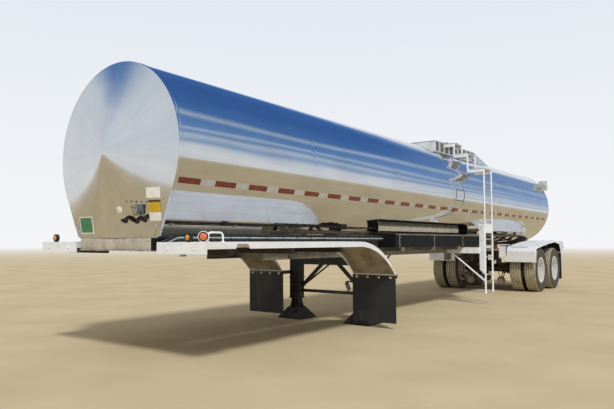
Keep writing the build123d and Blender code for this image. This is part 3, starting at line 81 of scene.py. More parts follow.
# Studio: an open dome that the polished steel shows, white at the horizon and sky blue overhead. On
# the trailer's left the blue comes lower and runs along it in pale streaks, and ahead it is hazy
# white. The backdrop itself is plain and pale. What isn't polished gets plain white light from the
# dome and from one soft key lamp on the near side.
DOME_NEAR = (
    # degrees round the trailer's length, from level on its left up to overhead, and colour
    (0, "#eceef1"),
    (6, "#f4f5f7"),
    (13, "#e6ebf2"),
    (18, "#9ab6db"),
    (24, "#c6d4e7"),
    (29, "#7a9fd2"),
    (35, "#b4c8e3"),
    (40, "#719ad0"),
    (50, "#6690ca"),
    (58, "#b2c6e2"),
    (65, "#5581bf"),
    (73, "#4b78ba"),
    (90, "#426eb1"),
)
DOME_FAR = (
    # height over the horizon, from 0 to 1, and colour
    (0.0, "#f4f5f7"),
    (0.24, "#ebeff4"),
    (0.38, "#dde6f1"),
    (0.44, "#6b92cb"),
    (0.50, "#446fb2"),
    (1.0, "#3a62a2"),
)
DOME_PLAIN = (
    # the same for the backdrop behind the trailer
    (0.0, "#f4f5f7"),
    (0.24, "#ebeff4"),
    (0.45, "#dce5f0"),
    (1.0, "#cfdcec"),
)
DOME_ENDS = "#a4bcdd"
DOME_AHEAD = "#e8f0fa"
STREAK_DRIFT = radians(5)
OVERHEAD = (radians(98), radians(113))
DOME_LIGHT = 0.47
KEY_POWER = 2.2
KEY_FROM = Vector((0.45, 0.52, 0.73))
KEY_SOFTNESS = 8.0


def linear(hex_colour):
    """A colour written as sRGB hex, as the linear values that a shader takes."""
    levels = [int(hex_colour[i : i + 2], 16) / 255 for i in (1, 3, 5)]
    return (*[v / 12.92 if v <= 0.04045 else ((v + 0.055) / 1.055) ** 2.4 for v in levels], 1.0)


def feed(tree, node, inputs):
    """Fills a node's inputs: each takes a value, an sRGB hex colour, or a node or output to link."""
    for name, value in inputs.items():
        value = value.outputs[0] if isinstance(value, bpy.types.Node) else value
        if isinstance(value, bpy.types.NodeSocket):
            tree.links.new(value, node.inputs[name])
        else:
            node.inputs[name].default_value = linear(value) if isinstance(value, str) else value


def add(tree, kind, inputs=None, **settings):
    """Adds a node with its settings and links. A colour mix takes its share as 0, colours as 6, 7."""
    made = tree.nodes.new(kind)
    for name, value in settings.items():
        setattr(made, name, value)
    feed(tree, made, inputs or {})
    return made


world = bpy.data.worlds.new("studio_dome")
world.use_nodes = True
scene.world = world
dome = world.node_tree
dome.nodes.clear()
direction = add(dome, "ShaderNodeTexCoord").outputs["Generated"]
toward = add(dome, "ShaderNodeSeparateXYZ", {0: direction}).outputs
height = add(dome, "ShaderNodeMath", {0: toward["Z"], 1: 0.001}, operation="MAXIMUM")
turn = add(dome, "ShaderNodeMath", {0: height, 1: toward["Y"]}, operation="ARCTAN2")
drift = add(dome, "ShaderNodeTexNoise", {"Vector": direction, "Scale": 2.5, "Detail": 2.0})
drift = {"Value": drift, "From Min": 0.3, "From Max": 0.7, "To Min": -STREAK_DRIFT, "To Max": STREAK_DRIFT}
drift = add(dome, "ShaderNodeMapRange", drift)
streak = add(dome, "ShaderNodeMath", {0: turn, 1: drift}, operation="ADD")
near = add(dome, "ShaderNodeMapRange", {"Value": streak, "From Max": radians(90)})
near = add(dome, "ShaderNodeValToRGB", {0: near})
far = add(dome, "ShaderNodeValToRGB", {0: height})
plain = add(dome, "ShaderNodeValToRGB", {0: height})
for bands, stops, whole in ((near, DOME_NEAR, 90), (far, DOME_FAR, 1), (plain, DOME_PLAIN, 1)):
    for place, colour in stops[1:-1]:
        bands.color_ramp.elements.new(place / whole)
    for stop, (place, colour) in zip(bands.color_ramp.elements, stops):
        stop.position = place / whole
        stop.color = linear(colour)
endways = add(dome, "ShaderNodeMath", {0: toward["X"]}, operation="ABSOLUTE")
endways = {"Value": endways, "From Min": 0.85, "From Max": 0.99, "To Max": 0.6}
endways = add(dome, "ShaderNodeMapRange", endways, interpolation_type="SMOOTHSTEP")
left_sky = add(dome, "ShaderNodeMix", {0: endways, 6: near, 7: DOME_ENDS}, data_type="RGBA").outputs[2]
over = {"Value": turn, "From Min": OVERHEAD[0], "From Max": OVERHEAD[1]}
over = add(dome, "ShaderNodeMapRange", over, interpolation_type="SMOOTHSTEP")
both_skies = add(dome, "ShaderNodeMix", {0: over, 6: left_sky, 7: far}, data_type="RGBA").outputs[2]
ahead = {"Value": toward["X"], "From Min": 0.45, "From Max": 0.68, "To Max": 0.9}
ahead = add(dome, "ShaderNodeMapRange", ahead, interpolation_type="SMOOTHSTEP")
above = {"Value": height, "From Max": 0.25}
above = add(dome, "ShaderNodeMapRange", above, interpolation_type="SMOOTHSTEP")
ahead = add(dome, "ShaderNodeMath", {0: ahead, 1: above}, operation="MULTIPLY")
hazy_sky = add(dome, "ShaderNodeMix", {0: ahead, 6: both_skies, 7: DOME_AHEAD}, data_type="RGBA").outputs[2]
ray = add(dome, "ShaderNodeLightPath").outputs
sky = {0: ray["Is Camera Ray"], 6: hazy_sky, 7: plain}
sky = add(dome, "ShaderNodeMix", sky, data_type="RGBA").outputs[2]
seen = add(dome, "ShaderNodeMath", {0: ray["Is Camera Ray"], 1: ray["Is Glossy Ray"]}, operation="MAXIMUM")
seen = add(dome, "ShaderNodeMath", {0: seen, 1: ray["Is Transmission Ray"]}, operation="MAXIMUM")
lit = add(dome, "ShaderNodeBackground", {"Color": (1, 1, 1, 1), "Strength": DOME_LIGHT})
shown = add(dome, "ShaderNodeBackground", {"Color": sky, "Strength": 1.0})
whole_dome = add(dome, "ShaderNodeMixShader", {0: seen, 1: lit, 2: shown})
add(dome, "ShaderNodeOutputWorld", {"Surface": whole_dome})

key_data = bpy.data.lights.new("key_lamp", "SUN")
key_data.energy = KEY_POWER
key_data.angle = radians(KEY_SOFTNESS)
key = bpy.data.objects.new("key_lamp", key_data)
key.rotation_euler = KEY_FROM.to_track_quat("Z", "Y").to_euler()
key.visible_glossy = False
scene.collection.objects.link(key)

# Floor: pale sand-coloured screed, matt and faintly mottled, which fades far out to the same white as
# the dome's horizon. Its grit is drawn at 25 mm, since real sand is too fine to show.
MM = 0.001
FLOOR_R = 260.0
FLOOR_NEAR = 14.0
FLOOR_FAR = 110.0
FLOOR_MOTTLE = 1.2
FLOOR_GRIT_MM = 25
GRIT_DEPTH_MM = 4
floor_material = bpy.data.materials.new("pale_sand_screed")
floor_material.use_nodes = True
ground = floor_material.node_tree
ground.nodes.clear()
spot = add(ground, "ShaderNodeTexCoord").outputs["Object"]
mottle = add(ground, "ShaderNodeTexNoise", {"Vector": spot, "Scale": 1 / FLOOR_MOTTLE, "Detail": 8.0})
grit = add(ground, "ShaderNodeTexNoise", {"Vector": spot, "Scale": 1000 / FLOOR_GRIT_MM, "Detail": 3.0})
sand = add(ground, "ShaderNodeMix", {0: mottle, 6: "#bca986", 7: "#d6c8a8"}, data_type="RGBA").outputs[2]
bump = add(ground, "ShaderNodeBump", {"Height": grit, "Strength": 0.3, "Distance": GRIT_DEPTH_MM * MM})
screed = add(ground, "ShaderNodeBsdfDiffuse", {"Color": sand, "Normal": bump})
reach = add(ground, "ShaderNodeVectorMath", {0: spot}, operation="LENGTH").outputs["Value"]
fade = {"Value": reach, "From Min": FLOOR_NEAR, "From Max": FLOOR_FAR}
fade = add(ground, "ShaderNodeMapRange", fade, interpolation_type="SMOOTHSTEP")
haze = add(ground, "ShaderNodeEmission", {"Color": DOME_FAR[0][1]})
faded = add(ground, "ShaderNodeMixShader", {0: fade, 1: screed, 2: haze})
add(ground, "ShaderNodeOutputMaterial", {"Surface": faded})
floor_mesh = bpy.data.meshes.new("floor")
disc = bmesh.new()
bmesh.ops.create_circle(disc, cap_ends=True, radius=FLOOR_R, segments=96)
disc.to_mesh(floor_mesh)
disc.free()
floor_mesh.materials.append(floor_material)
floor = bpy.data.objects.new("floor", floor_mesh)
scene.collection.objects.link(floor)

# Jacket: the tank's outer skin, rolled stainless sheets welded edge to edge and ground flush, then
# polished to a mirror. It follows the frame's cylinder, with the faint waves that thin sheet keeps.
tank_low, tank_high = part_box("tank_shell")
TANK_R = (tank_high.y - tank_low.y) / 2
AXIS_Z = (tank_low.z + tank_high.z) / 2
JACKET_END = tank_high.x
JACKET_STATIONS = 190
JACKET_TURNS = 200
SHEET_COUNT = 6
WAVE_MM = 0.45
WAVE_LENGTH = 0.75
CALM_END = 0.25
WELD_HALF_MM = 7
WELD_DIP_MM = 0.5
POLISH_MARKS_PER_M = 260.0
POLISH_DEPTH_MM = 0.004


def fresh(name):
    """A new material, with its node tree, its shader and the place on the object in metres."""
    material = bpy.data.materials.new(name)
    material.use_nodes = True
    tree = material.node_tree
    return material, tree, tree.nodes["Principled BSDF"], add(tree, "ShaderNodeTexCoord").outputs["Object"]


def stainless_polished(name, drip_mm, roughness, colours):
    """Mirror-polished stainless: a dark clear reflection, hazed a little by dried drips and wipe marks."""
    material, tree, shader, spot = fresh(name)
    drips = add(tree, "ShaderNodeMapping", {"Vector": spot, "Scale": [1000 / mm for mm in drip_mm]})
    drips = add(tree, "ShaderNodeTexNoise", {"Vector": drips, "Scale": 1.0, "Detail": 5.0})
    wiped = {"Vector": spot, "Scale": 1.6, "Detail": 3.0, "Distortion": 0.8}
    wiped = add(tree, "ShaderNodeTexNoise", wiped)
    hazed = add(tree, "ShaderNodeMath", {0: drips, 1: wiped}, operation="MULTIPLY")
    share = add(tree, "ShaderNodeMapRange", {"Value": hazed, "From Min": 0.17, "From Max": 0.36})
    tone = {0: share, 6: colours[0], 7: colours[1]}
    rough = {"Value": share, "To Min": roughness[0], "To Max": roughness[1]}
    marks = add(tree, "ShaderNodeTexNoise", {"Vector": spot, "Scale": POLISH_MARKS_PER_M, "Detail": 2.0})
    finish = {
        "Base Color": add(tree, "ShaderNodeMix", tone, data_type="RGBA").outputs[2],
        "Roughness": add(tree, "ShaderNodeMapRange", rough),
        "Normal": add(tree, "ShaderNodeBump", {"Height": marks, "Distance": POLISH_DEPTH_MM * MM}),
        "Metallic": 1.0,
    }
    feed(tree, shader, finish)
    return material


def round_angles(count, start=0.0):
    """Angles spread evenly round a full turn."""
    return [2 * pi * (n + start) / count for n in range(count)]


def skin(mesh, rings, capped=True, closed=False):
    """Joins each ring of points to the next, and the last to the first if closed. A ring may be a tip."""
    for low, high in zip(rings, rings[1:] + rings[:1] if closed else rings[1:]):
        count = max(len(low), len(high))
        for n in range(count):
            m = (n + 1) % count
            corners = (low[n % len(low)], low[m % len(low)], high[m % len(high)], high[n % len(high)])
            corners = tuple(dict.fromkeys(corners))
            if len(corners) > 2:
                mesh.faces.new(corners)
    for end in (rings[0], rings[-1]) if capped else ():
        if len(end) > 2:
            mesh.faces.new(end)


def piece(name, mesh, material, body="trailer", replaces=(), sharp=35):
    """Makes a mesh into an object that rides on a body, smooth but for edges over this angle."""
    bmesh.ops.recalc_face_normals(mesh, faces=mesh.faces)
    data = bpy.data.meshes.new(name)
    mesh.to_mesh(data)
    mesh.free()
    data.materials.append(material)
    data.shade_smooth()
    data.set_sharp_from_angle(angle=radians(sharp))
    made = bpy.data.objects.new(name, data)
    scene.collection.objects.link(made)
    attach(made, body)
    if replaces:
        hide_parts(*replaces)


mirror_steel = stainless_polished(
    "stainless_mirror_polished", (900, 160, 160), (0.012, 0.04), ("#cfd1d3", "#c6c8c9")
)
stations = [-JACKET_END + 2 * JACKET_END * n / JACKET_STATIONS for n in range(JACKET_STATIONS + 1)]
welds = [-JACKET_END + 2 * JACKET_END * n / SHEET_COUNT for n in range(1, SHEET_COUNT)]
stations = [x for x in stations if all(abs(x - weld) > 2 * WELD_HALF_MM * MM for weld in welds)]
for weld in welds:
    stations += [weld - WELD_HALF_MM * MM, weld, weld + WELD_HALF_MM * MM]
jacket = bmesh.new()
rings = []
for x in sorted(stations):
    calm = min(1.0, (JACKET_END - abs(x)) / CALM_END)
    dip = WELD_DIP_MM * MM if x in welds else 0.0
    ring = []
    for angle in round_angles(JACKET_TURNS):
        place = Vector((x, TANK_R * cos(angle), TANK_R * sin(angle))) / WAVE_LENGTH
        radius = TANK_R - dip - WAVE_MM * MM * calm * (1 + noise.noise(place))
        ring.append(jacket.verts.new((x, radius * cos(angle), AXIS_Z + radius * sin(angle))))
    rings.append(ring)
skin(jacket, rings)
piece("tank_jacket", jacket, mirror_steel, replaces=["tank_shell"], sharp=40)

# Heads: shallow stainless cones, one sheet each, spun on a former and buffed in rings from the middle
# outwards. The front one's lower edge runs straight down as an apron to the coupler, and it keeps a
# few soft dents from the polishing wheel.
HEAD_FACE = JACKET_END + 40 * MM
HEAD_DEPTH = cad_box[1].x - HEAD_FACE
RIM_STEP_MM = 6
HEAD_SLOPE = HEAD_DEPTH / (TANK_R - RIM_STEP_MM * MM)
APRON_ANGLE = radians(30.5)
APRON_FOOT_Y = 0.64
COUPLER_LOW, COUPLER_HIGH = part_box("upper_coupler")
HEAD_RINGS = 22
HEAD_DENT_MM = 0.7
HEAD_DENT_WIDTH = 0.4
HEAD_ROUND_MM = 2
HEAD_EDGE_MM = 3
HEAD_RAYS = 26.0
RING_MARKS_PER_M = 320.0


def dress(material, *nodes):
    """Gives these nodes of the frame their real finish in place of the plain one."""
    for name in nodes:
        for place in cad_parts[name].material_slots:
            place.material = material


# Spun and buffed stainless mirrors less sharply than the jacket, in rays from the tip to the rim.
head_steel, tree, shader, spot = fresh("stainless_spun_buffed")
from_axis = add(tree, "ShaderNodeVectorMath", {0: spot, 1: (0, 0, -AXIS_Z)}, operation="ADD")
part = add(tree, "ShaderNodeSeparateXYZ", {0: from_axis}).outputs
turn = add(tree, "ShaderNodeMath", {0: part["Y"], 1: part["Z"]}, operation="ARCTAN2")
rays = {"W": turn, "Scale": HEAD_RAYS / (2 * pi), "Detail": 4.0}
rays = add(tree, "ShaderNodeTexNoise", rays, noise_dimensions="1D")
cloudy = add(tree, "ShaderNodeTexNoise", {"Vector": spot, "Scale": 3.0, "Detail": 5.0})
haze = add(tree, "ShaderNodeMath", {0: rays, 1: cloudy}, operation="MULTIPLY")
haze = add(tree, "ShaderNodeMapRange", {"Value": haze, "From Min": 0.15, "From Max": 0.4})
from_tip = add(tree, "ShaderNodeVectorMath", {0: from_axis}, operation="LENGTH").outputs["Value"]
marks = add(tree, "ShaderNodeMath", {0: from_tip, 1: RING_MARKS_PER_M}, operation="MULTIPLY")
marks = add(tree, "ShaderNodeTexNoise", {"W": marks, "Scale": 1.0}, noise_dimensions="1D")
tone = {0: haze, 6: "#cbcccd", 7: "#d6d6d5"}
finish = {
    "Base Color": add(tree, "ShaderNodeMix", tone, data_type="RGBA").outputs[2],
    "Roughness": add(tree, "ShaderNodeMapRange", {"Value": haze, "To Min": 0.06, "To Max": 0.11}),
    "Normal": add(tree, "ShaderNodeBump", {"Height": marks, "Distance": 0.02 * MM}),
    "Metallic": 1.0,
}
feed(tree, shader, finish)
dress(head_steel, "rear_head")


def head_reach(angle):
    """Distance from the tank's axis to the head's outline, this far round from level."""
    across, up = abs(cos(angle)), sin(angle)
    if up > -sin(APRON_ANGLE):
        return TANK_R
    shoulder = Vector((TANK_R * cos(APRON_ANGLE), -TANK_R * sin(APRON_ANGLE)))
    foot = Vector((APRON_FOOT_Y, COUPLER_HIGH.z - AXIS_Z))
    edge = foot - shoulder
    to_side = (shoulder.x * edge.y - shoulder.y * edge.x) / (across * edge.y - up * edge.x)
    return min(to_side, foot.y / up)


head = bmesh.new()
rings = [[head.verts.new((HEAD_FACE + HEAD_DEPTH - MM, 0, AXIS_Z))]]
for step in range(1, HEAD_RINGS + 3):
    ring = []
    for angle in round_angles(JACKET_TURNS):
        edge = head_reach(angle)
        share = min(1, step / HEAD_RINGS)
        radius = share * edge - HEAD_ROUND_MM * MM * share**9
        dent = HEAD_DENT_MM * MM * sin(pi * share)
        dent *= noise.noise(Vector((cos(angle), sin(angle), 3.0)) * radius / HEAD_DENT_WIDTH)
        x = HEAD_FACE + HEAD_DEPTH - HEAD_SLOPE * radius - dent
        if step > HEAD_RINGS:
            radius = edge
            x = (x - HEAD_EDGE_MM * MM, JACKET_END)[step - HEAD_RINGS - 1]
        ring.append(head.verts.new((x, radius * cos(angle), AXIS_Z + radius * sin(angle))))
    rings.append(ring)
skin(head, rings)
piece("front_head_sheet", head, head_steel, replaces=["front_head"], sharp=25)

# Rim bands: half-round stainless trim over the joints between the jacket and the heads, and the
# heads' own rolled outer corner. Each is a closed ring, tacked on and polished.
RIM_BANDS = (
    # middle along X, half width and rise in mm
    (JACKET_END, 9, 3),
    (HEAD_FACE - 5 * MM, 5, 2),
)
BAND_SUNK_MM = 2


def facing(at, along, upright=(0, 0, 1)):
    """A placing frame at a point: its Z runs along a direction and its Y as near upright as can be."""
    z = Vector(along).normalized()
    x = Vector(upright).cross(z)
    x = x.normalized() if x.length > 1e-4 else Vector((1, 0, 0))
    return Matrix.Translation(at) @ Matrix((x, z.cross(x), z)).transposed().to_4x4()


def lathe(mesh, outline, place, turns=48, closed=False):
    """Turns an outline of (radius, along) points round the Z axis of a placing frame."""
    rings = []
    for radius, along in outline:
        steps = round_angles(turns if radius > 1e-6 else 1)
        ring = [place @ Vector((radius * cos(a), radius * sin(a), along)) for a in steps]
        rings.append([mesh.verts.new(point) for point in ring])
    skin(mesh, rings, capped=False, closed=closed)


bands_mesh = bmesh.new()
for end in (1, -1):
    for middle, half, proud in RIM_BANDS:
        sunk = TANK_R - BAND_SUNK_MM * MM
        crown = [pi * n / 6 for n in range(7)]
        crown = [(TANK_R + proud * MM * sin(a), middle - half * MM * cos(a)) for a in crown]
        outline = [(sunk, middle - half * MM), *crown, (sunk, middle + half * MM)]
        lathe(bands_mesh, outline, facing((0, 0, AXIS_Z), (end, 0, 0)), JACKET_TURNS, closed=True)
piece("head_rim_bands", bands_mesh, mirror_steel)

# Weld seam of the front cone: the sheet is rolled up and butt-welded along one line, straight down
# from the tip, where the bead was ground nearly flush.
SEAM_HALF_MM = 3
SEAM_PROUD_MM = 0.8
SEAM_STEPS = (0.02, 0.35, 0.68, 0.97)
seam = bmesh.new()
rings = []
for share in SEAM_STEPS:
    x, z = HEAD_FACE + HEAD_DEPTH * share, AXIS_Z - TANK_R + TANK_R * share
    corners = ((x - MM, -SEAM_HALF_MM * MM), (x + SEAM_PROUD_MM * MM, 0), (x - MM, SEAM_HALF_MM * MM))
    rings.append([seam.verts.new((corner_x, y, z)) for corner_x, y in corners])
skin(seam, rings)
piece("front_cone_weld", seam, head_steel)

# Conspicuity tape: self-adhesive retroreflective film along both sides, in red and white blocks by
# turns. The film has a fine honeycomb of sealed cells that greys the white.
SIDES = {"left": 1, "right": -1}
TAPE_Z = 1.757
TAPE_W_MM = 58
TAPE_PROUD_MM = 0.6
TAPE_START = 0.03
TAPE_PITCH = 0.5
RED_LEN = 0.3
TAPE_STEPS = 4
CELL_MM = 6


def tape_film(name, colour, worn):
    """Retroreflective film: glossy, with a paler net of cell walls over the colour and scuffs."""
    material, tree, shader, spot = fresh(name)
    cells = {"Vector": spot, "Scale": 1000 / CELL_MM, "Randomness": 0.15}
    cells = add(tree, "ShaderNodeTexVoronoi", cells, feature="DISTANCE_TO_EDGE")
    walls = {"Value": cells, "From Max": 0.12, "To Min": 0.5, "To Max": 0.0}
    walls = add(tree, "ShaderNodeMapRange", walls)
    scuffs = add(tree, "ShaderNodeTexNoise", {"Vector": spot, "Scale": 9.0, "Detail": 6.0})
    scuffs = {"Value": scuffs, "From Min": 0.5, "From Max": 0.75, "To Max": 0.7}
    scuffs = add(tree, "ShaderNodeMapRange", scuffs)
    netted = add(tree, "ShaderNodeMix", {0: walls, 6: colour, 7: worn}, data_type="RGBA").outputs[2]
    scuffed = {0: scuffs, 6: netted, 7: worn}
    finish = {
        "Base Color": add(tree, "ShaderNodeMix", scuffed, data_type="RGBA").outputs[2],
        "Roughness": add(tree, "ShaderNodeMapRange", {"Value": scuffs, "To Min": 0.22, "To Max": 0.5}),
        "Coat Weight": 0.3,
    }
    feed(tree, shader, finish)
    return material


tape_red = tape_film("film_retroreflective_red", "#6b1410", "#84413a")
tape_white = tape_film("film_retroreflective_white", "#c4c2bc", "#9a968e")
tape_drop = AXIS_Z - TAPE_Z
tape_low = -atan2(tape_drop, sqrt(TANK_R**2 - tape_drop**2)) - TAPE_W_MM * MM / TANK_R / 2
tape_blocks = {"red": bmesh.new(), "white": bmesh.new()}
for block in range(int((2 * HEAD_FACE - TAPE_START) / TAPE_PITCH)):
    block_front = HEAD_FACE - TAPE_START - block * TAPE_PITCH
    for colour, front, length in (("red", 0, RED_LEN), ("white", RED_LEN, TAPE_PITCH - RED_LEN)):
        for side in SIDES.values():
            film = tape_blocks[colour]
            rings = []
            for x in (block_front - front - MM, block_front - front - length + MM):
                ring = []
                for reach, steps in ((TANK_R - MM, range(TAPE_STEPS + 1)),
                                     (TANK_R + TAPE_PROUD_MM * MM, range(TAPE_STEPS, -1, -1))):
                    for step in steps:
                        a = tape_low + step * TAPE_W_MM * MM / TANK_R / TAPE_STEPS
                        ring.append(film.verts.new((x, side * reach * cos(a), AXIS_Z + reach * sin(a))))
                rings.append(ring)
            skin(film, rings)
piece("side_tape_red", tape_blocks["red"], tape_red)
piece("side_tape_white", tape_blocks["white"], tape_white)

# Blank plates: aluminium blanks stove-enamelled in one colour each, riveted to the apron near its
# left edge, and a green one in a white frame low on the right. A small oval tag sits between.
PLATES = (
    # colour, Y from, Y to, Z from, Z to, thickness over the sheet in mm
    ("white", 0.533, 0.703, 1.597, 1.694, 2.5),
    ("yellow", 0.549, 0.694, 1.461, 1.556, 2.5),
    ("dark", 0.549, 0.694, 1.556, 1.574, 2.5),
    ("white", 0.549, 0.694, 1.382, 1.459, 2.5),
    ("white", -0.571, -0.314, 1.265, 1.442, 2.5),
    ("green", -0.555, -0.330, 1.278, 1.429, 3.5),
)
PLATE_SUNK_MM = 6
RIVET_INSET_MM = 10
PLATE_RIVET = ((0, 0), (0.004, 0), (0.0028, 0.0016), (0, 0.002))
OVAL_AT = (0.153, 1.495)
OVAL_SQUASH = (0.62, 0.52, 1, 1)
OVAL_OUTLINE = ((0, -0.001), (0.064, -0.001), (0.064, 0.002), (0.06, 0.003), (0, 0.003))


def on_head(y, z):
    """A placing frame on the head's sheet at this Y and Z, its own Z pointing straight out."""
    radius = hypot(y, z - AXIS_Z)
    at = (HEAD_FACE + HEAD_DEPTH - HEAD_SLOPE * radius, y, z)
    return facing(at, (1, HEAD_SLOPE * y / radius, HEAD_SLOPE * (z - AXIS_Z) / radius))


def slab(mesh, low, high, round_mm=2, place=Matrix(), segments=2):
    """A block between two corners in a placing frame, with rounded edges."""
    low, high = Vector(low), Vector(high)
    corners = bmesh.ops.create_cube(mesh, size=1.0)["verts"]
    for corner in corners:
        share = corner.co + Vector((0.5, 0.5, 0.5))
        corner.co = place @ Vector([low[k] + share[k] * (high[k] - low[k]) for k in range(3)])
    edges = list({edge for corner in corners for edge in corner.link_edges})
    bmesh.ops.bevel(mesh, geom=edges, offset=round_mm * MM, segments=segments, profile=0.5, affect="EDGES")


def surface(
    name, colours, blotch_mm, roughness, metallic=0.0, grain=((2, 2, 2), 0.05, 0.08),
    edge=None, dust=None, stain=None, level_painted_light=False,
):
    """Two blotched colours with a grain, given as its sizes and depth in mm and its speckle.

    Where asked come worn edges (colour, mm), dust (colour, share) and runs of stain (colour, mm).
    Dust asked to lie evenly covers level faces alone and stands as painted light there; otherwise it clings
    in patches to upright ones as well.
    """
    material, tree, shader, spot = fresh(name)
    grain_mm, depth_mm, speckle = grain
    blotch = add(tree, "ShaderNodeTexNoise", {"Vector": spot, "Scale": 1000 / blotch_mm, "Detail": 7.0})
    grain = add(tree, "ShaderNodeMapping", {"Vector": spot, "Scale": [1000 / mm for mm in grain_mm]})
    grain = add(tree, "ShaderNodeTexNoise", {"Vector": grain, "Scale": 1.0, "Detail": 4.0})
    spread = add(tree, "ShaderNodeMapRange", {"Value": blotch, "From Min": 0.36, "From Max": 0.64})
    blend = {0: spread, 6: colours[0], 7: colours[1]}
    colour = add(tree, "ShaderNodeMix", blend, data_type="RGBA").outputs[2]
    flecks = {"Value": grain, "From Min": 0.2, "From Max": 0.8, "To Min": 1 - speckle, "To Max": 1 + speckle}
    flecks = add(tree, "ShaderNodeMapRange", flecks).outputs[0]
    colour = add(tree, "ShaderNodeVectorMath", {0: colour, "Scale": flecks}, operation="SCALE")
    normal = add(tree, "ShaderNodeNewGeometry").outputs["Normal"]
    if stain:
        runs = add(tree, "ShaderNodeMapping", {"Vector": spot, "Scale": [1000 / mm for mm in stain[1]]})
        runs = add(tree, "ShaderNodeTexNoise", {"Vector": runs, "Scale": 1.0, "Detail": 5.0})
        runs = {"Value": runs, "From Min": 0.5, "From Max": 0.72, "To Max": 0.8}
        runs = add(tree, "ShaderNodeMapRange", runs)
        colour = add(tree, "ShaderNodeMix", {0: runs, 6: colour, 7: stain[0]}, data_type="RGBA").outputs[2]
    if edge:
        rounded = add(tree, "ShaderNodeBevel", {"Radius": edge[1] * MM}, samples=4)
        turned = add(tree, "ShaderNodeVectorMath", {0: rounded, 1: normal}, operation="DOT_PRODUCT")
        worn = {"Value": turned.outputs["Value"], "From Min": 0.985, "From Max": 0.86, "To Max": 0.85}
        worn = add(tree, "ShaderNodeMapRange", worn)
        patchy = add(tree, "ShaderNodeMapRange", {"Value": blotch, "From Min": 0.42, "From Max": 0.58})
        chips = add(tree, "ShaderNodeMath", {0: worn, 1: patchy}, operation="MULTIPLY")
        colour = add(tree, "ShaderNodeMix", {0: chips, 6: colour, 7: edge[0]}, data_type="RGBA").outputs[2]
    if dust:
        up = add(tree, "ShaderNodeSeparateXYZ", {0: normal}).outputs["Z"]
        settled = {"Value": up, "From Min": 0.4 if level_painted_light else -0.2, "To Max": dust[1]}
        settled = add(tree, "ShaderNodeMapRange", settled)
        patches = add(tree, "ShaderNodeMapRange", {"Value": spread, "To Min": 0.85 if level_painted_light else 0.0})
        film = add(tree, "ShaderNodeMath", {0: settled, 1: patches}, operation="MULTIPLY")
        colour = add(tree, "ShaderNodeMix", {0: film, 6: colour, 7: dust[0]}, data_type="RGBA").outputs[2]
    rough = {"Value": spread, "To Min": roughness[0], "To Max": roughness[1]}
    finish = {
        "Base Color": colour,
        "Roughness": add(tree, "ShaderNodeMapRange", rough),
        "Normal": add(tree, "ShaderNodeBump", {"Height": grain, "Distance": depth_mm * MM}),
        "Metallic": metallic,
    }
    feed(tree, shader, finish)
    return material


# Stove enamel on a plate that road dust has dulled: a soft sheen, with grey runs from the rivets.
# The printed films are smoother and evenly coloured, faded where the sun reaches.
plate_materials = {
    "white": surface(
        "aluminium_enamelled_white", ("#e9e9e4", "#f6f6f3"), 60, (0.25, 0.45),
        stain=("#cdc6b8", (14, 14, 90)),
    ),
    "yellow": surface(
        "film_printed_yellow", ("#c99a12", "#dcb02a"), 50, (0.3, 0.5), stain=("#a98a3a", (14, 14, 90))
    ),
    "dark": surface("film_printed_black", ("#24211b", "#34302a"), 30, (0.3, 0.5)),
    "green": surface(
        "film_printed_green", ("#176b3e", "#2d8a57"), 60, (0.3, 0.5), stain=("#6fa283", (20, 20, 120))
    ),
}
plate_meshes = {colour: bmesh.new() for colour in plate_materials}
for colour, y_from, y_to, z_from, z_to, lift_mm in PLATES:
    plate = plate_meshes[colour]
    place = on_head((y_from + y_to) / 2, (z_from + z_to) / 2)
    half_w = (y_to - y_from) / 2
    half_h = (z_to - z_from) / 2
    slab(plate, (-half_w, -half_h, -PLATE_SUNK_MM * MM), (half_w, half_h, lift_mm * MM), 1, place)
    if colour == "white":
        for x in (-half_w + RIVET_INSET_MM * MM, half_w - RIVET_INSET_MM * MM):
            for y in (-half_h + RIVET_INSET_MM * MM, half_h - RIVET_INSET_MM * MM):
                lathe(plate, PLATE_RIVET, place @ Matrix.Translation((x, y, lift_mm * MM)), 10)
lathe(plate_meshes["white"], OVAL_OUTLINE, on_head(*OVAL_AT) @ Matrix.Diagonal(OVAL_SQUASH), 40)
for colour, mesh in plate_meshes.items():
    replaced = ["front_plates"] if colour == "white" else []
    piece(f"front_plate_{colour}", mesh, plate_materials[colour], replaces=replaced)

# Couplings: a seven-way socket box with a sprung lid above, and cast hose couplings below it, all
# bolted through the apron. The socket is bare zinc, and the castings are black with grease.
SOCKET_AT = (0.42, 1.487)
SOCKET_CUP = (
    # radius and reach out from the sheet
    (0, 0), (0.042, 0), (0.042, 0.018), (0.035, 0.024),
    (0.035, 0.046), (0.039, 0.048), (0.039, 0.054), (0, 0.054),
)
SOCKET_LID_TILT = radians(14)
GLADHANDS = ((0.281, 1.412), (0.435, 1.405), (0.532, 1.420))
GLADHAND_SIZE = 0.8
GLADHAND_RISE = 0.008
GLADHAND_TILT = radians(-24)
GLADHAND_DISC = (
    # radius and height over its seat
    (0, 0), (0.034, 0), (0.036, 0.006), (0.036, 0.02), (0.03, 0.026), (0.02, 0.026),
    (0.018, 0.02), (0.008, 0.02), (0.006, 0.012), (0, 0.012),
)
BOLT_ROW = (Vector((0.268, 1.573)), Vector((0.524, 1.558)))
BOLT_ROW_COUNT = 5


def rod(mesh, points, radius, sides=12):
    """A round bar along a row of points, capped; the radius is one value or one for each point."""
    points = [Vector(point) for point in points]
    radii = [radius] * len(points) if isinstance(radius, float) else radius
    across = (points[1] - points[0]).orthogonal()
    rings = []
    for n, point in enumerate(points):
        ahead = (points[min(n + 1, len(points) - 1)] - points[max(n - 1, 0)]).normalized()
        across = (across - ahead * across.dot(ahead)).normalized()
        up = ahead.cross(across)
        ring = [point + radii[n] * (across * cos(a) + up * sin(a)) for a in round_angles(sides)]
        rings.append([mesh.verts.new(corner) for corner in ring])
    skin(mesh, rings)


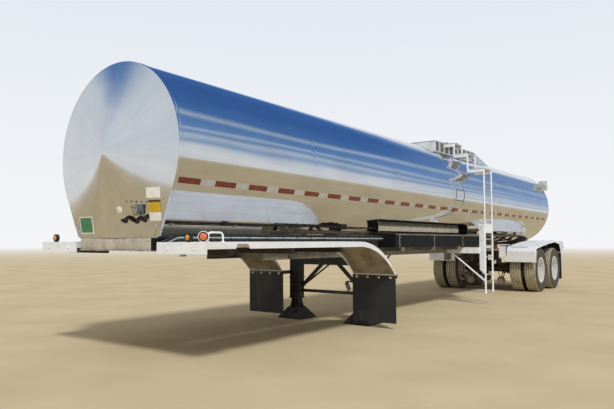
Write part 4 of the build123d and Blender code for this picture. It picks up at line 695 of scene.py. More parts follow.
def bent(points, radius, steps=6):
    """The points of a line with its corners rounded to a radius, or less where the line is short."""
    points = [Vector(point) for point in points]
    line = [points[0]]
    for before, corner, after in zip(points, points[1:], points[2:]):
        back, ahead = before - corner, after - corner
        reach = min(radius / tan(back.angle(ahead) / 2), back.length / 2, ahead.length / 2)
        start = corner + back.normalized() * reach
        end = corner + ahead.normalized() * reach
        for n in range(steps + 1):
            t = n / steps
            line.append(start * (1 - t) ** 2 + corner * 2 * t * (1 - t) + end * t**2)
    return [*line, points[-1]]


def bolt(mesh, place, across_mm=19):
    """A hex head on its washer, standing up from a placing frame."""
    half = across_mm * MM / 2
    washer = [(0, -MM), (1.5 * half, -MM), (1.5 * half, 2 * MM), (0, 2 * MM)]
    hexagon = [(0, 2 * MM), (1.15 * half, 2 * MM), (1.15 * half, half), (half, 1.2 * half), (0, 1.2 * half)]
    lathe(mesh, washer, place, 16)
    lathe(mesh, hexagon, place, 6)


# Die-cast zinc, dulled to a soft grey with a fine grain and brighter edges.
zinc = surface(
    "zinc_die_cast", ("#8d9092", "#b4b7b9"), 30, (0.35, 0.6), 0.9, ((1.5, 1.5, 1.5), 0.1, 0.08),
    edge=("#d6d8d9", 2), stain=("#5a5247", (12, 12, 60)),
)
# Cast iron under old grease: nearly black, patchy between wet and dry, brown where it is rubbed.
greasy = surface(
    "iron_cast_greasy_black", ("#17130f", "#33291f"), 25, (0.35, 0.75), 0.3, ((3, 3, 3), 0.3, 0.08),
    edge=("#6b5a48", 2),
)
socket = bmesh.new()
box_place = on_head(*SOCKET_AT)
slab(socket, (-0.056, -0.052, -0.01), (0.056, 0.052, 0.006), 3, box_place)
lathe(socket, SOCKET_CUP, box_place, 32)
lid_place = box_place @ Matrix.Translation((0, 0.04, 0.052)) @ Matrix.Rotation(SOCKET_LID_TILT, 4, "X")
slab(socket, (-0.04, -0.082, 0.0), (0.04, 0.004, 0.008), 3, lid_place)
rod(socket, [lid_place @ Vector((x, 0.004, 0.002)) for x in (-0.044, 0.044)], 0.006)
for x in (-0.046, 0.046):
    for y in (-0.042, 0.042):
        bolt(socket, box_place @ Matrix.Translation((x, y, 0.006)), 9)
for n in range(BOLT_ROW_COUNT):
    bolt(socket, on_head(*BOLT_ROW[0].lerp(BOLT_ROW[1], n / (BOLT_ROW_COUNT - 1))), 15)
piece("seven_way_socket", socket, zinc, replaces=["front_couplings"])
gladhands = bmesh.new()
for y, z in GLADHANDS:
    place = on_head(y, z + GLADHAND_RISE) @ Matrix.Scale(GLADHAND_SIZE, 4)
    bolt(gladhands, place, 34)
    elbow = bent([(0, 0, 0), (0, 0, 0.042), (0, -0.05, 0.05)], 0.02)
    rod(gladhands, [place @ point for point in elbow], 0.014)
    hand = place @ Matrix.Translation((0, -0.036, 0.05)) @ Matrix.Rotation(GLADHAND_TILT, 4, "X")
    lathe(gladhands, GLADHAND_DISC, hand, 24)
    slab(gladhands, (-0.05, -0.014, 0.004), (0.036, 0.016, 0.016), 3, hand)
    slab(gladhands, (-0.056, -0.01, 0.008), (-0.03, 0.012, 0.032), 3, hand)
piece("air_couplings", gladhands, greasy)

# Apron corners: a flat stainless strap on each lower corner, bent down over the coupler's end.
STRAP_POINTS = ((0.686, 1.368), (0.600, 1.312), (0.583, 1.222))
STRAP_HALF_MM = 9
STRAP_T_MM = 5
straps = bmesh.new()
for side in SIDES.values():
    for (y_a, z_a), (y_b, z_b) in zip(STRAP_POINTS, STRAP_POINTS[1:]):
        start = on_head(side * y_a, z_a)
        run = on_head(side * y_b, z_b).translation - start.translation
        out = start.to_3x3() @ Vector((0, 0, 1))
        across = run.cross(out).normalized()
        place = Matrix((run.normalized(), across, out)).transposed().to_4x4()
        place.translation = start.translation
        half = STRAP_HALF_MM * MM
        slab(straps, (-half / 2, -half, -MM), (run.length + half / 2, half, STRAP_T_MM * MM), 1.5, place)
    middle = on_head(side * STRAP_POINTS[1][0], STRAP_POINTS[1][1])
    bolt(straps, middle @ Matrix.Translation((0, 0, STRAP_T_MM * MM)), 11)
piece("apron_corner_straps", straps, mirror_steel)

# Upper coupler: a welded steel box under the tank's front end, coloured black as painted shade, with
# near-white level faces as painted light.
# Galvanised cover plates close its front, over the bright edge of the pick-up plate.
COVER_SEAMS = (-0.56, 0.052, 0.275, 0.56)
COVER_T_MM = 3
COVER_BOLT_IN = 0.03
LIP_HALF_Y = 0.57
LIP_Z_MM = (-8, 4)
KINGPIN_X = 5.621
PICKUP_RING = ((0.092, -0.004), (0.15, -0.004), (0.155, 0.0), (0.092, 0.0))
# Hot-dip galvanising, weathered to a dull beige grey with paler rubbed edges.
galvanised = surface(
    "steel_hot_dip_galvanised", ("#b5ae9f", "#cac4b7"), 110, (0.5, 0.7), 0.1, ((6, 6, 6), 0.06, 0.06),
    edge=("#dedbd3", 3), dust=("#c2b697", 0.6), stain=("#a59a86", (40, 40, 160)),
)
# Black underframe colour that is painted shade on upright faces, and a near-white coat on every level face
# that is painted light for the polished tank to mirror.
underframe_shade_and_light = surface(
    "steel_black_painted_shade_pale_tops", ("#15120f", "#29231d"), 160, (0.6, 0.85), 0.0, ((4, 4, 4), 0.1, 0.1),
    edge=("#4c4238", 3), dust=("#efe8d8", 1.0), level_painted_light=True,
)
# Steel that is kept bright by sliding contact: long scratches, and brown where water stands.
bright = surface(
    "steel_scuffed_bright", ("#a9aaa9", "#cfcfcc"), 40, (0.25, 0.5), 0.95, ((60, 2, 2), 0.05, 0.12),
    edge=("#e8e8e6", 3), stain=("#7a5a3c", (70, 70, 70)),
)
dress(galvanised, "line_clips")
dress(underframe_shade_and_light, "upper_coupler", "front_fender_arms")
dress(bright, "kingpin")
FORWARD = (1, 0, 0)


def bolts(mesh, xs, ys, zs, along, across_mm):
    """Bolts wherever these X, Y and Z values meet, all pointing the same way."""
    for x in xs:
        for y in ys:
            for z in zs:
                bolt(mesh, facing((x, y, z), along), across_mm)


covers = bmesh.new()
cover_face = HEAD_FACE + COVER_T_MM * MM
for y_from, y_to in zip(COVER_SEAMS, COVER_SEAMS[1:]):
    low = (HEAD_FACE - MM, y_from + MM, COUPLER_LOW.z + 6 * MM)
    slab(covers, low, (cover_face, y_to - MM, COUPLER_HIGH.z - 2 * MM), 1.2)
    bolt_ys = (y_from + COVER_BOLT_IN, y_to - COVER_BOLT_IN)
    bolts(covers, [cover_face], bolt_ys, (COUPLER_LOW.z + 0.03, COUPLER_HIGH.z - 0.025), FORWARD, 12)
piece("coupler_covers", covers, galvanised)
lip = bmesh.new()
lip_low = (HEAD_FACE - 0.5, -LIP_HALF_Y, COUPLER_LOW.z + LIP_Z_MM[0] * MM)
slab(lip, lip_low, (HEAD_FACE + 9 * MM, LIP_HALF_Y, COUPLER_LOW.z + LIP_Z_MM[1] * MM), 3)
lathe(lip, PICKUP_RING, Matrix.Translation((KINGPIN_X, 0, COUPLER_LOW.z)), 48, True)
piece("pickup_plate_edge", lip, bright)

# Front fenders: deck sheets of aluminium over the tractor's wheels, brake-pressed with turned lips
# and joined by riveted lap seams, with three rolled beads along each deck.
FENDER_LOW, FENDER_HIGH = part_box("front_fenders")
FENDER_IN = 0.64
FENDER_OUT = FENDER_HIGH.y
FENDER_BEND_X = HEAD_FACE - 2.62
FENDER_BEND_R = 1.15
FENDER_TAIL_X = FENDER_LOW.x
SEAM_BACKS = (0.82, 1.9, 2.62)
SEAM_W = 0.045
SEAM_SKIRT = 0.062
SEAM_RIVET_YS = (0.70, 0.86, 1.03, 1.19)
SEAM_RIVET = ((0, 0), (0.007, 0), (0.005, 0.003), (0, 0.004))
BEAD_YS = (0.80, 0.965, 1.13)
BEAD_R_MM = 5
BEAD_FRONT_X = HEAD_FACE - 0.12
BEAD_STEPS = 60
NOSE_BOLT_YS = (0.78, 1.15)
# Mill-finish aluminium, which weather has turned pale and matt, with fine lines along its rolling.
weathered_aluminium = surface(
    "aluminium_weathered_mill_finish", ("#eef2f8", "#f9fbff"), 240, (0.45, 0.6), 0.1,
    ((700, 4, 4), 0.02, 0.04),
    edge=("#ffffff", 4), dust=("#e6e2d9", 0.15), stain=("#e6e5e2", (900, 60, 60)),
)
dress(weathered_aluminium, "front_fenders")


def fender_top(x):
    """Z of the top of a front fender at this X."""
    drop = max(0.0, FENDER_BEND_X - x)
    return FENDER_HIGH.z - FENDER_BEND_R + sqrt(FENDER_BEND_R**2 - drop**2)


trim = bmesh.new()
bead_run = BEAD_FRONT_X - FENDER_TAIL_X - 0.06
bead_xs = [BEAD_FRONT_X - bead_run * n / BEAD_STEPS for n in range(BEAD_STEPS + 1)]
for side in SIDES.values():
    for seam_back in SEAM_BACKS:
        x = HEAD_FACE - seam_back
        top = fender_top(x)
        low = (x - SEAM_W / 2, side * (FENDER_IN + 2 * MM), top - 3 * MM)
        slab(trim, low, (x + SEAM_W / 2, side * (FENDER_OUT - MM), top + 1.5 * MM), 1)
        low = (x - SEAM_W / 2, side * (FENDER_OUT - 6 * MM), FENDER_HIGH.z - SEAM_SKIRT)
        slab(trim, low, (x + SEAM_W / 2, side * (FENDER_OUT - 0.5 * MM), FENDER_HIGH.z), 0.4)
        for y in SEAM_RIVET_YS:
            lathe(trim, SEAM_RIVET, Matrix.Translation((x, side * y, top + MM)), 10)
    for y in BEAD_YS:
        rod(trim, [(x, side * y, fender_top(x) - 2.5 * MM) for x in bead_xs], BEAD_R_MM * MM, 10)
    tail_ys = (FENDER_IN + 4 * MM, FENDER_OUT - 5 * MM)
    tail = [(FENDER_TAIL_X + 8 * MM, side * y, fender_top(FENDER_TAIL_X) + MM) for y in tail_ys]
    rod(trim, tail, 4.5 * MM, 10)
    bolts(trim, [HEAD_FACE], [side * y for y in NOSE_BOLT_YS], [FENDER_HIGH.z - SEAM_SKIRT], FORWARD, 17)
piece("front_fender_trim", trim, weathered_aluminium)

# Marker lamps: moulded lenses in rubber grommets, held in enamelled rings that stand on the fender
# tops. The left fender's outer lamp is turned outwards, with a bent guard hoop behind it, and the
# right fender has only its inner lamp.
LAMPS = (
    # side, distance back, Y, ring radius, degrees outwards, colour
    (1, 0.020, 1.048, 0.042, 0, "amber"),
    (1, 0.042, 1.214, 0.050, 37, "orange"),
    (-1, 0.020, 1.048, 0.042, 0, "amber"),
)
STEEL_RING_FROM = 0.045
LENS_SHARE = 0.68
LAMP_HALF = 0.015
LAMP_WALL = 0.006
LAMP_FOOT = 0.012
LENS_STEPS = 6
LENS_CROWN = 0.008
HOOP_FOOT = ((0, -0.001), (0.02, -0.001), (0.02, 0.004), (0.0095, 0.009), (0, 0.009))
HOOP_BAR_R = 0.009


def lens_plastic(name, deep, pale):
    """Moulded lens: a glossy clear skin over coloured plastic, paler where its ribs catch the light."""
    material, tree, shader, spot = fresh(name)
    ribs = {"Vector": spot, "Scale": 60.0, "Distortion": 1.5}
    ribs = add(tree, "ShaderNodeTexWave", ribs, bands_direction="DIAGONAL").outputs["Fac"]
    grime = add(tree, "ShaderNodeTexNoise", {"Vector": spot, "Scale": 60.0, "Detail": 6.0})
    dull = {"Value": grime, "From Min": 0.5, "From Max": 0.7, "To Max": 0.5}
    dull = add(tree, "ShaderNodeMapRange", dull)
    ribbed = add(tree, "ShaderNodeMix", {0: ribs, 6: deep, 7: pale}, data_type="RGBA").outputs[2]
    grimy = {0: dull, 6: ribbed, 7: "#7c6a55"}
    finish = {
        "Base Color": add(tree, "ShaderNodeMix", grimy, data_type="RGBA").outputs[2],
        "Roughness": add(tree, "ShaderNodeMapRange", {"Value": grime, "To Min": 0.1, "To Max": 0.3}),
        "Normal": add(tree, "ShaderNodeBump", {"Height": ribs, "Distance": 0.3 * MM}),
        "Coat Weight": 0.6,
    }
    feed(tree, shader, finish)
    return material


amber_lens = lens_plastic("polycarbonate_amber_moulded", "#d07c1c", "#eeaa42")
orange_lens = lens_plastic("polycarbonate_orange_moulded", "#dc5a2c", "#f28c5c")
# White enamel, sprayed and stoved: bright with a soft gloss, greyed by dust in faint upright runs.
enamel = surface(
    "steel_white_enamel", ("#f3f7fd", "#fcfeff"), 90, (0.28, 0.5), 0.0, ((2, 2, 2), 0.03, 0.02),
    edge=("#c4bfb6", 2), dust=("#ebe8e0", 0.2), stain=("#e4e0d8", (25, 25, 160)),
)
# Moulded black rubber, matt, with dust in its pores.
grommet_rubber = surface(
    "rubber_moulded_black", ("#141415", "#262627"), 40, (0.55, 0.8), 0.0, ((4, 4, 4), 0.1, 0.1),
    dust=("#5d564a", 0.5),
)
dress(grommet_rubber, "air_lines")
dress(enamel, "lamp_guard")
lamp_rings = bmesh.new()
grommets = bmesh.new()
lenses = {"amber": bmesh.new(), "orange": bmesh.new()}
for side, lamp_back, y, radius, outward, colour in LAMPS:
    centre = (HEAD_FACE - lamp_back, side * y, FENDER_HIGH.z + radius)
    place = facing(centre, (cos(radians(outward)), side * sin(radians(outward)), 0))
    body = lamp_rings if radius > STEEL_RING_FROM else grommets
    bore = radius - LAMP_WALL
    corner = radius - 2 * MM
    ring = [(bore, -LAMP_HALF), (corner, -LAMP_HALF), (radius, -LAMP_HALF + 2 * MM)]
    ring += [(radius, LAMP_HALF - 2 * MM), (corner, LAMP_HALF), (bore, LAMP_HALF)]
    lathe(body, ring, place, 40, closed=True)
    plate_z = 4 * MM - LAMP_HALF
    back_plate = [(0, -LAMP_HALF), (bore + MM, -LAMP_HALF), (bore + MM, plate_z), (0, plate_z)]
    lathe(body, back_plate, place, 40)
    foot = (-radius / 2, -radius - MM, -LAMP_HALF)
    slab(body, foot, (radius / 2, LAMP_FOOT - radius, LAMP_HALF), 2, place)
    inner = radius * LENS_SHARE
    seal = [(inner - 2 * MM, 0.0), (bore, -4 * MM), (bore, LAMP_HALF), (bore - 3 * MM, LAMP_HALF + 5 * MM)]
    seal += [(inner + 2 * MM, LAMP_HALF + 6 * MM), (inner - 2 * MM, LAMP_HALF + 2 * MM)]
    lathe(grommets, seal, place, 40, closed=True)
    lens = [(0, 0.0), (inner, 0.0)]
    for n in range(LENS_STEPS + 1):
        turned = n / LENS_STEPS * pi / 2
        step = inner * cos(turned)
        height = LAMP_HALF + LENS_CROWN * sin(turned)
        lens += [(step, height), (step - 1.6 * MM, height + MM)] if step > 3 * MM else [(0, height)]
    lathe(lenses[colour], lens, place, 40)
piece("marker_lamp_rings", lamp_rings, enamel, replaces=["front_marker_lamps"])
piece("marker_lamp_grommets", grommets, grommet_rubber)
piece("marker_lenses_amber", lenses["amber"], amber_lens)
piece("marker_lenses_orange", lenses["orange"], orange_lens)
hoop_low, hoop_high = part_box("lamp_guard")
hoop_feet = bmesh.new()
for x in (hoop_low.x + HOOP_BAR_R, hoop_high.x - HOOP_BAR_R):
    lathe(hoop_feet, HOOP_FOOT, Matrix.Translation((x, (hoop_low.y + hoop_high.y) / 2, FENDER_HIGH.z)), 20)
piece("lamp_guard_feet", hoop_feet, enamel)

# Conduit: corrugated plastic tube for the lamp leads, between the two air hoses, taped to them at
# intervals. Its rings are drawn at a coarser pitch than the real 3 mm, which is too fine to show.
CONDUIT_PITCH = 0.009
CONDUIT_R = 0.011
CONDUIT_GROOVE = 0.0022
CONDUIT_BEND = 0.05
CONDUIT_Y = 0.6
TIE_EVERY = 0.30
TIE_START = 0.4
TIE_HALF = (0.0175, 0.0455)
TIE_R = 0.0028
line_low, line_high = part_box("line_conduit")
conduit_z = line_high.z - CONDUIT_R
# Polyethylene in a sun-bleached grey green, waxy, with dust between its rings.
conduit_plastic = surface(
    "polyethylene_corrugated_grey", ("#9fb0ae", "#c3cdca"), 60, (0.4, 0.6), 0.0, ((9, 9, 9), 0.1, 0.1),
    dust=("#8d8473", 0.4),
)
corners = [(line_high.x, CONDUIT_Y + 0.02, conduit_z - 0.09)]
corners += [(x, CONDUIT_Y, conduit_z) for x in (line_high.x - 0.26, line_low.x)]
route = bent(corners, CONDUIT_BEND)
conduit_points = []
for start, end in zip(route, route[1:]):
    steps = max(1, round((end - start).length / CONDUIT_PITCH))
    conduit_points += [start.lerp(end, n / steps) for n in range(steps)]
conduit_points.append(route[-1])
ridges = [CONDUIT_R - (CONDUIT_GROOVE if n % 2 else 0.0) for n in range(len(conduit_points))]
conduit = bmesh.new()
rod(conduit, conduit_points, ridges, 10)
piece("lead_conduit", conduit, conduit_plastic, replaces=["line_conduit"], sharp=60)
ties = bmesh.new()
for n in range(int((line_high.x - TIE_START - line_low.x) / TIE_EVERY)):
    x = line_high.x - TIE_START - n * TIE_EVERY
    half_y, half_z = TIE_HALF
    turns = [*round_angles(24), 2 * pi]
    loop = [(x, CONDUIT_Y + half_y * cos(a), conduit_z + half_z * sin(a)) for a in turns]
    rod(ties, loop, TIE_R, 6)
piece("line_ties", ties, grommet_rubber)

# Front mudflaps: pressed rubber sheets, clamped by a steel strip with four plated bolts under each
# fender's tail. They hang nearly flat, with a slow curl from the wind of the road.
FLAP_LOW, FLAP_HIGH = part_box("front_mudflaps")
FLAP_W = 0.672
FLAP_ROWS = 18
FLAP_DROP = 0.004
CURL = 0.016
FLAP_WAVE = 0.008
STRIP_H = 0.045
STRIP_T = 0.005
STRIP_INSET = 0.012
# Pressed rubber, bleached to charcoal, with long grain and grey splashes.
flap_rubber = surface(
    "rubber_pressed_flap", ("#1b1c1e", "#2c2d30"), 260, (0.5, 0.75), 0.0, ((260, 5, 5), 0.12, 0.08),
    dust=("#6e675a", 0.4), stain=("#3f3c37", (90, 90, 500)),
)
# Brushed-on chassis black, half glossy, with brown runs and dust on its ledges.
black_paint = surface(
    "steel_black_chassis_paint", ("#101112", "#202123"), 140, (0.35, 0.6), 0.0, ((3, 3, 3), 0.08, 0.1),
    edge=("#4f463c", 3), dust=("#6b6252", 0.5), stain=("#3a3026", (40, 40, 260)),
)
# Zinc plating on fasteners: pale and satin, with tan stains at the threads.
plated = surface(
    "steel_zinc_plated", ("#d2d3d0", "#ebebe7"), 20, (0.35, 0.5), 0.4, ((1, 1, 1), 0.04, 0.08),
    stain=("#b09a7c", (60, 60, 400)),
)
dress(black_paint, "front_flap_hangers")


def flap_sheet(mesh, low, high):
    """A rubber sheet hanging between two corners, bulged a little and curled at its foot."""
    grid = []
    for row in range(FLAP_ROWS + 1):
        down = row / FLAP_ROWS
        line = []
        for column in range(FLAP_ROWS + 1):
            across = column / FLAP_ROWS
            y = low.y + across * (high.y - low.y)
            z = high.z + down * (low.z - high.z)
            wave = noise.noise(Vector((y * 2.2, z * 1.4, low.x)))
            shift = wave * FLAP_WAVE * down - down**2 * CURL * (0.7 + 0.3 * cos(pi * (across - 0.5)))
            line.append([mesh.verts.new((x + shift, y, z)) for x in (high.x, low.x)])
        grid.append(line)
    for a in range(FLAP_ROWS):
        for b in range(FLAP_ROWS):
            square = (grid[a][b], grid[a][b + 1], grid[a + 1][b + 1], grid[a + 1][b])
            for face in (0, 1):
                mesh.faces.new([pair[face] for pair in square])
    for n in range(FLAP_ROWS):
        for i, j, di, dj in ((0, n, 0, 1), (FLAP_ROWS, n, 0, 1), (n, 0, 1, 0), (n, FLAP_ROWS, 1, 0)):
            here, there = grid[i][j], grid[i + di][j + dj]
            mesh.faces.new((here[0], here[1], there[1], there[0]))


flaps = bmesh.new()
flap_strips = bmesh.new()
flap_bolts = bmesh.new()
strip_top = FLAP_HIGH.z - FLAP_DROP
for side in SIDES.values():
    inner, outer = sorted((side * (FLAP_HIGH.y - FLAP_W), side * FLAP_HIGH.y))
    flap_sheet(flaps, Vector((FLAP_LOW.x, inner, FLAP_LOW.z)), Vector((FLAP_HIGH.x, outer, FLAP_HIGH.z)))
    low = (FLAP_HIGH.x - MM, inner + STRIP_INSET, strip_top - STRIP_H)
    slab(flap_strips, low, (FLAP_HIGH.x + STRIP_T, outer - STRIP_INSET, strip_top), 1)
    ys = [inner + FLAP_W * (0.11 + 0.26 * n) for n in range(4)]
    bolts(flap_bolts, [FLAP_HIGH.x + STRIP_T], ys, [strip_top - STRIP_H / 2], FORWARD, 24)
piece("front_flap_sheets", flaps, flap_rubber, replaces=["front_mudflaps"])
piece("front_flap_strips", flap_strips, black_paint)
piece("front_flap_bolts", flap_bolts, plated)

# Landing gear: two telescopic box legs in black chassis paint with a gearbox on the left one, cast
# collars, gusseted feet splashed with dried mud, and a crank with a loose sleeve for the hand.
LEG_X = HEAD_FACE - 3.85
LEG_Y = 0.6
LEG_HALF = 0.08
COLLAR_ZS = (0.30, 0.62, 0.96)
COLLAR_GROW = 0.008
COLLAR_H = 0.018
GUIDE_AT = 0.062
GUIDE_ZS = (0.33, 0.94)
GUIDE_BOLT_ZS = (0.36, 0.48, 0.86)
FOOT_HALF = 0.21
FOOT_TOP = 0.017
FOOT_BOLT_AT = 0.17
GUSSET = ((0, 0.02), (0, 0.27), (0.03, 0.175), (0.135, 0.02))
GUSSET_SHIFT = 0.05
GUSSET_HALF = 0.005
GEARBOX_HALF = 0.07
GEARBOX_DEEP = 0.05
GEARBOX_ZS = (0.66, 0.90)
GEARBOX_HUB = ((0, 0), (0.04, 0), (0.036, 0.014), (0.016, 0.016), (0.014, 0.03), (0, 0.03))
BEAM_FACE_X = LEG_X + 0.075
# Black paint under splashes of dried mud, rough and brownish, thickest on level faces.
muddy_paint = surface(
    "steel_painted_mud_splashed", ("#121214", "#232220"), 90, (0.5, 0.85), 0.0, ((5, 5, 5), 0.2, 0.12),
    edge=("#40382f", 3), dust=("#7b7060", 0.5), stain=("#453d32", (60, 60, 120)),
)
dress(black_paint, "landing_gear_beam", "landing_gear_braces", "landing_gear_crank")
dress(muddy_paint, "landing_legs")
UP = (0, 0, 1)
gear = bmesh.new()
gear_bolts = bmesh.new()
for leg_y in (LEG_Y, -LEG_Y):
    grow = LEG_HALF + COLLAR_GROW
    for z in COLLAR_ZS:
        slab(gear, (LEG_X - grow, leg_y - grow, z), (LEG_X + grow, leg_y + grow, z + COLLAR_H), 3)
    for front in (1, -1):
        x = LEG_X + front * LEG_HALF
        for y in (leg_y + GUIDE_AT, leg_y - GUIDE_AT):
            slab(gear, (x - 0.004, y - 0.008, GUIDE_ZS[0]), (x + 0.004, y + 0.008, GUIDE_ZS[1]), 1.5)
        bolts(gear_bolts, [x + front * 0.004], [leg_y], GUIDE_BOLT_ZS, (front, 0, 0), 17)
    for dx, dy in ((1, 0), (-1, 0), (0, 1), (0, -1)):
        for shift in (-GUSSET_SHIFT, GUSSET_SHIFT):
            near = Vector((LEG_X + dx * GUIDE_AT + dy * shift, leg_y + dy * GUIDE_AT + dx * shift, 0))
            thick = Vector((dy, dx, 0)) * GUSSET_HALF
            line = [near + Vector((dx * reach, dy * reach, z)) for reach, z in GUSSET]
            skin(gear, [[gear.verts.new(corner + sign * thick) for corner in line] for sign in (1, -1)])
    low = (LEG_X - FOOT_HALF, leg_y - FOOT_HALF, MM)
    slab(gear, low, (LEG_X + FOOT_HALF, leg_y + FOOT_HALF, FOOT_TOP), 3)
    foot_bolt_ys = (leg_y - FOOT_BOLT_AT, leg_y + FOOT_BOLT_AT)
    bolts(gear_bolts, (LEG_X - FOOT_BOLT_AT, LEG_X + FOOT_BOLT_AT), foot_bolt_ys, [FOOT_TOP], UP, 19)
gearbox_y = LEG_Y + LEG_HALF
gearbox_face = gearbox_y + GEARBOX_DEEP
low = (LEG_X - GEARBOX_HALF, gearbox_y - 2 * MM, GEARBOX_ZS[0])
slab(gear, low, (LEG_X + GEARBOX_HALF, gearbox_face, GEARBOX_ZS[1]), 8, segments=3)
lathe(gear, GEARBOX_HUB, facing((LEG_X, gearbox_face, 0.80), (0, 1, 0)), 24)
bolts(gear_bolts, (LEG_X - 0.055, LEG_X + 0.055), [gearbox_face], (0.675, 0.78, 0.885), (0, 1, 0), 12)
bolts(gear_bolts, [BEAM_FACE_X], (-0.42, -0.2, 0.2, 0.42), (0.855, 0.935), FORWARD, 17)
piece("landing_gear_castings", gear, muddy_paint)
piece("landing_gear_bolts", gear_bolts, muddy_paint)
sleeve = bmesh.new()
grip_top = Vector((LEG_X, 0.328, 0.575))
grip_foot = Vector((LEG_X, 0.378, 0.475))
knurled = [0.016 + 0.0012 * (n % 2) for n in range(13)]
rod(sleeve, [grip_top.lerp(grip_foot, n / 12) for n in range(13)], knurled, 16)
rod(sleeve, [(LEG_X, 0.46, 0.59), (LEG_X, 0.5, 0.59)], 0.019, 16)
piece("crank_sleeve", sleeve, muddy_paint)

# Frame rails: pressed steel channels under the tank in grey primer, with crossmembers and saddles
# bolted through the webs. Road spray has left brown film on every ledge.
RAIL_LOW, RAIL_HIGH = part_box("frame_rails")
CROSS_BACKS = (2.3, 4.7, 6.3, 7.3, 8.6, 9.9, 11.5925)
CROSS_BOLT_HALF = 0.045
# Flat grey primer, browned by spray and streaked, with bare steel along its edges.
primer = surface(
    "steel_grey_primer", ("#77736c", "#969087"), 180, (0.5, 0.75), 0.15, ((4, 4, 4), 0.1, 0.1),
    edge=("#a0a1a0", 3), dust=("#b8ab92", 0.8), stain=("#61564a", (50, 50, 140)),
)
dress(primer, "frame_rails", "frame_crossmembers", "tank_saddles", "junction_box")
rail_bolts = bmesh.new()
flange_zs = (RAIL_LOW.z + 0.03, RAIL_HIGH.z - 0.03)
for cross_x in [HEAD_FACE - cross_back for cross_back in CROSS_BACKS]:
    xs = (cross_x - CROSS_BOLT_HALF, cross_x + CROSS_BOLT_HALF)
    for side in SIDES.values():
        bolts(rail_bolts, xs, [side * RAIL_HIGH.y], flange_zs, (0, side, 0), 19)
piece("frame_rail_bolts", rail_bolts, primer)

# Hose trays: folded steel troughs along both sides for the unloading hoses, in black worn at the edges
# and darkened as painted shade, each lip rolled over a rod and held by flat straps bolted round its outside.
TRAY_LOW, TRAY_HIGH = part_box("hose_trays")
TRAY_IN = 0.52
STRAP_START = 1.03
STRAP_STEP = 1.29
STRAP_COUNT = 3
STRAP_W = 0.018
STRAP_T = 0.006
TRAY_LIP_R = 0.009
# Black paint, darkened past its real tone on upright faces as painted shade of the tank above, and near
# white on level faces as painted light that the polished tank mirrors.
tray_shade_and_light = surface(
    "steel_black_painted_shade_pale_floor", ("#060807", "#0e1211"), 160, (0.75, 0.9), 0.0, ((4, 4, 4), 0.06, 0.08),
    edge=("#2b302e", 3), dust=("#f4e8cc", 1.0), level_painted_light=True,
)
dress(tray_shade_and_light, "hose_trays")
dress(primer, "hose_tray_arms")
tray_trim = bmesh.new()
tray_bolts = bmesh.new()
for side in SIDES.values():
    out = side * TRAY_HIGH.y
    outside = out + side * STRAP_T
    lip_z = TRAY_HIGH.z - 4 * MM
    rod(tray_trim, [(x, out, lip_z) for x in (TRAY_LOW.x + 4 * MM, TRAY_HIGH.x - 4 * MM)], TRAY_LIP_R, 12)
    for n in range(STRAP_COUNT):
        x = TRAY_LOW.x + STRAP_START + n * STRAP_STEP
        upright = (x, out - 2 * MM, TRAY_LOW.z - 2 * MM)
        slab(tray_trim, upright, (x + STRAP_W, outside, TRAY_HIGH.z - 0.012), 1.5)
        under = (x, side * TRAY_IN, TRAY_LOW.z - 6 * MM)
        slab(tray_trim, under, (x + STRAP_W, outside, TRAY_LOW.z + MM), 1.5)
        zs = (TRAY_LOW.z + 0.03, TRAY_HIGH.z - 0.045)
        bolts(tray_bolts, [x + STRAP_W / 2], [outside], zs, (0, side, 0), 17)
piece("hose_tray_straps", tray_trim, primer)
piece("hose_tray_bolts", tray_bolts, primer)

# Side lamps: red lenses in rubber grommets on the fronts of the enamelled bracket arms, ahead of
# the rear fenders, with the brackets' plates bolted to the arms.
bracket_low, bracket_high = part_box("side_brackets")
lamp_low, lamp_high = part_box("side_lamps")
SIDE_LAMP_R = (lamp_high.z - lamp_low.z) / 2
BRACKET_FACE_X = bracket_high.x - 0.0245
BRACKET_BOLT_YS = (0.77, 0.855)
red_lens = lens_plastic("polycarbonate_red_moulded", "#7c1612", "#b3332a")
dress(enamel, "side_brackets")


def grommet(mesh, place, radius, rise, lip, chamfer):
    """A rubber ring with a floor, round a lens that sits inside its lip."""
    bore = radius - lip
    floor_z = rise - 0.006 - chamfer
    outline = [(0, -2 * MM), (radius, -2 * MM), (radius, rise - chamfer), (radius - chamfer, rise)]
    lathe(mesh, [*outline, (bore, rise), (bore, floor_z), (0, floor_z)], place, 40)


def lens_dome(mesh, place, radius, back, rim, crown, turns=40):
    """A lens: a plain drum up to its rim, then a low dome."""
    arc = [(radius * cos(n * pi / 12), rim + crown * sin(n * pi / 12)) for n in range(6)]
    lathe(mesh, [(0, back), (radius, back), *arc, (0, rim + crown)], place, turns)


side_seals = bmesh.new()
side_lenses = bmesh.new()
bracket_bolts = bmesh.new()
for side in SIDES.values():
    y = side * (lamp_high.y - SIDE_LAMP_R)
    place = facing((lamp_low.x, y, (lamp_low.z + lamp_high.z) / 2), FORWARD)
    grommet(side_seals, place, SIDE_LAMP_R, 0.02, 0.014, 0.006)
    lens_dome(side_lenses, place, SIDE_LAMP_R - 0.015, 0.008, 0.02, 0.01)
    zs = (bracket_high.z - 0.05, bracket_high.z - 0.10, bracket_low.z + 0.03)
    bolts(bracket_bolts, [BRACKET_FACE_X], [side * y for y in BRACKET_BOLT_YS], zs, FORWARD, 15)
piece("side_lamp_seals", side_seals, grommet_rubber, replaces=["side_lamps"])
piece("side_lamp_lenses", side_lenses, red_lens)
piece("side_bracket_bolts", bracket_bolts, plated)

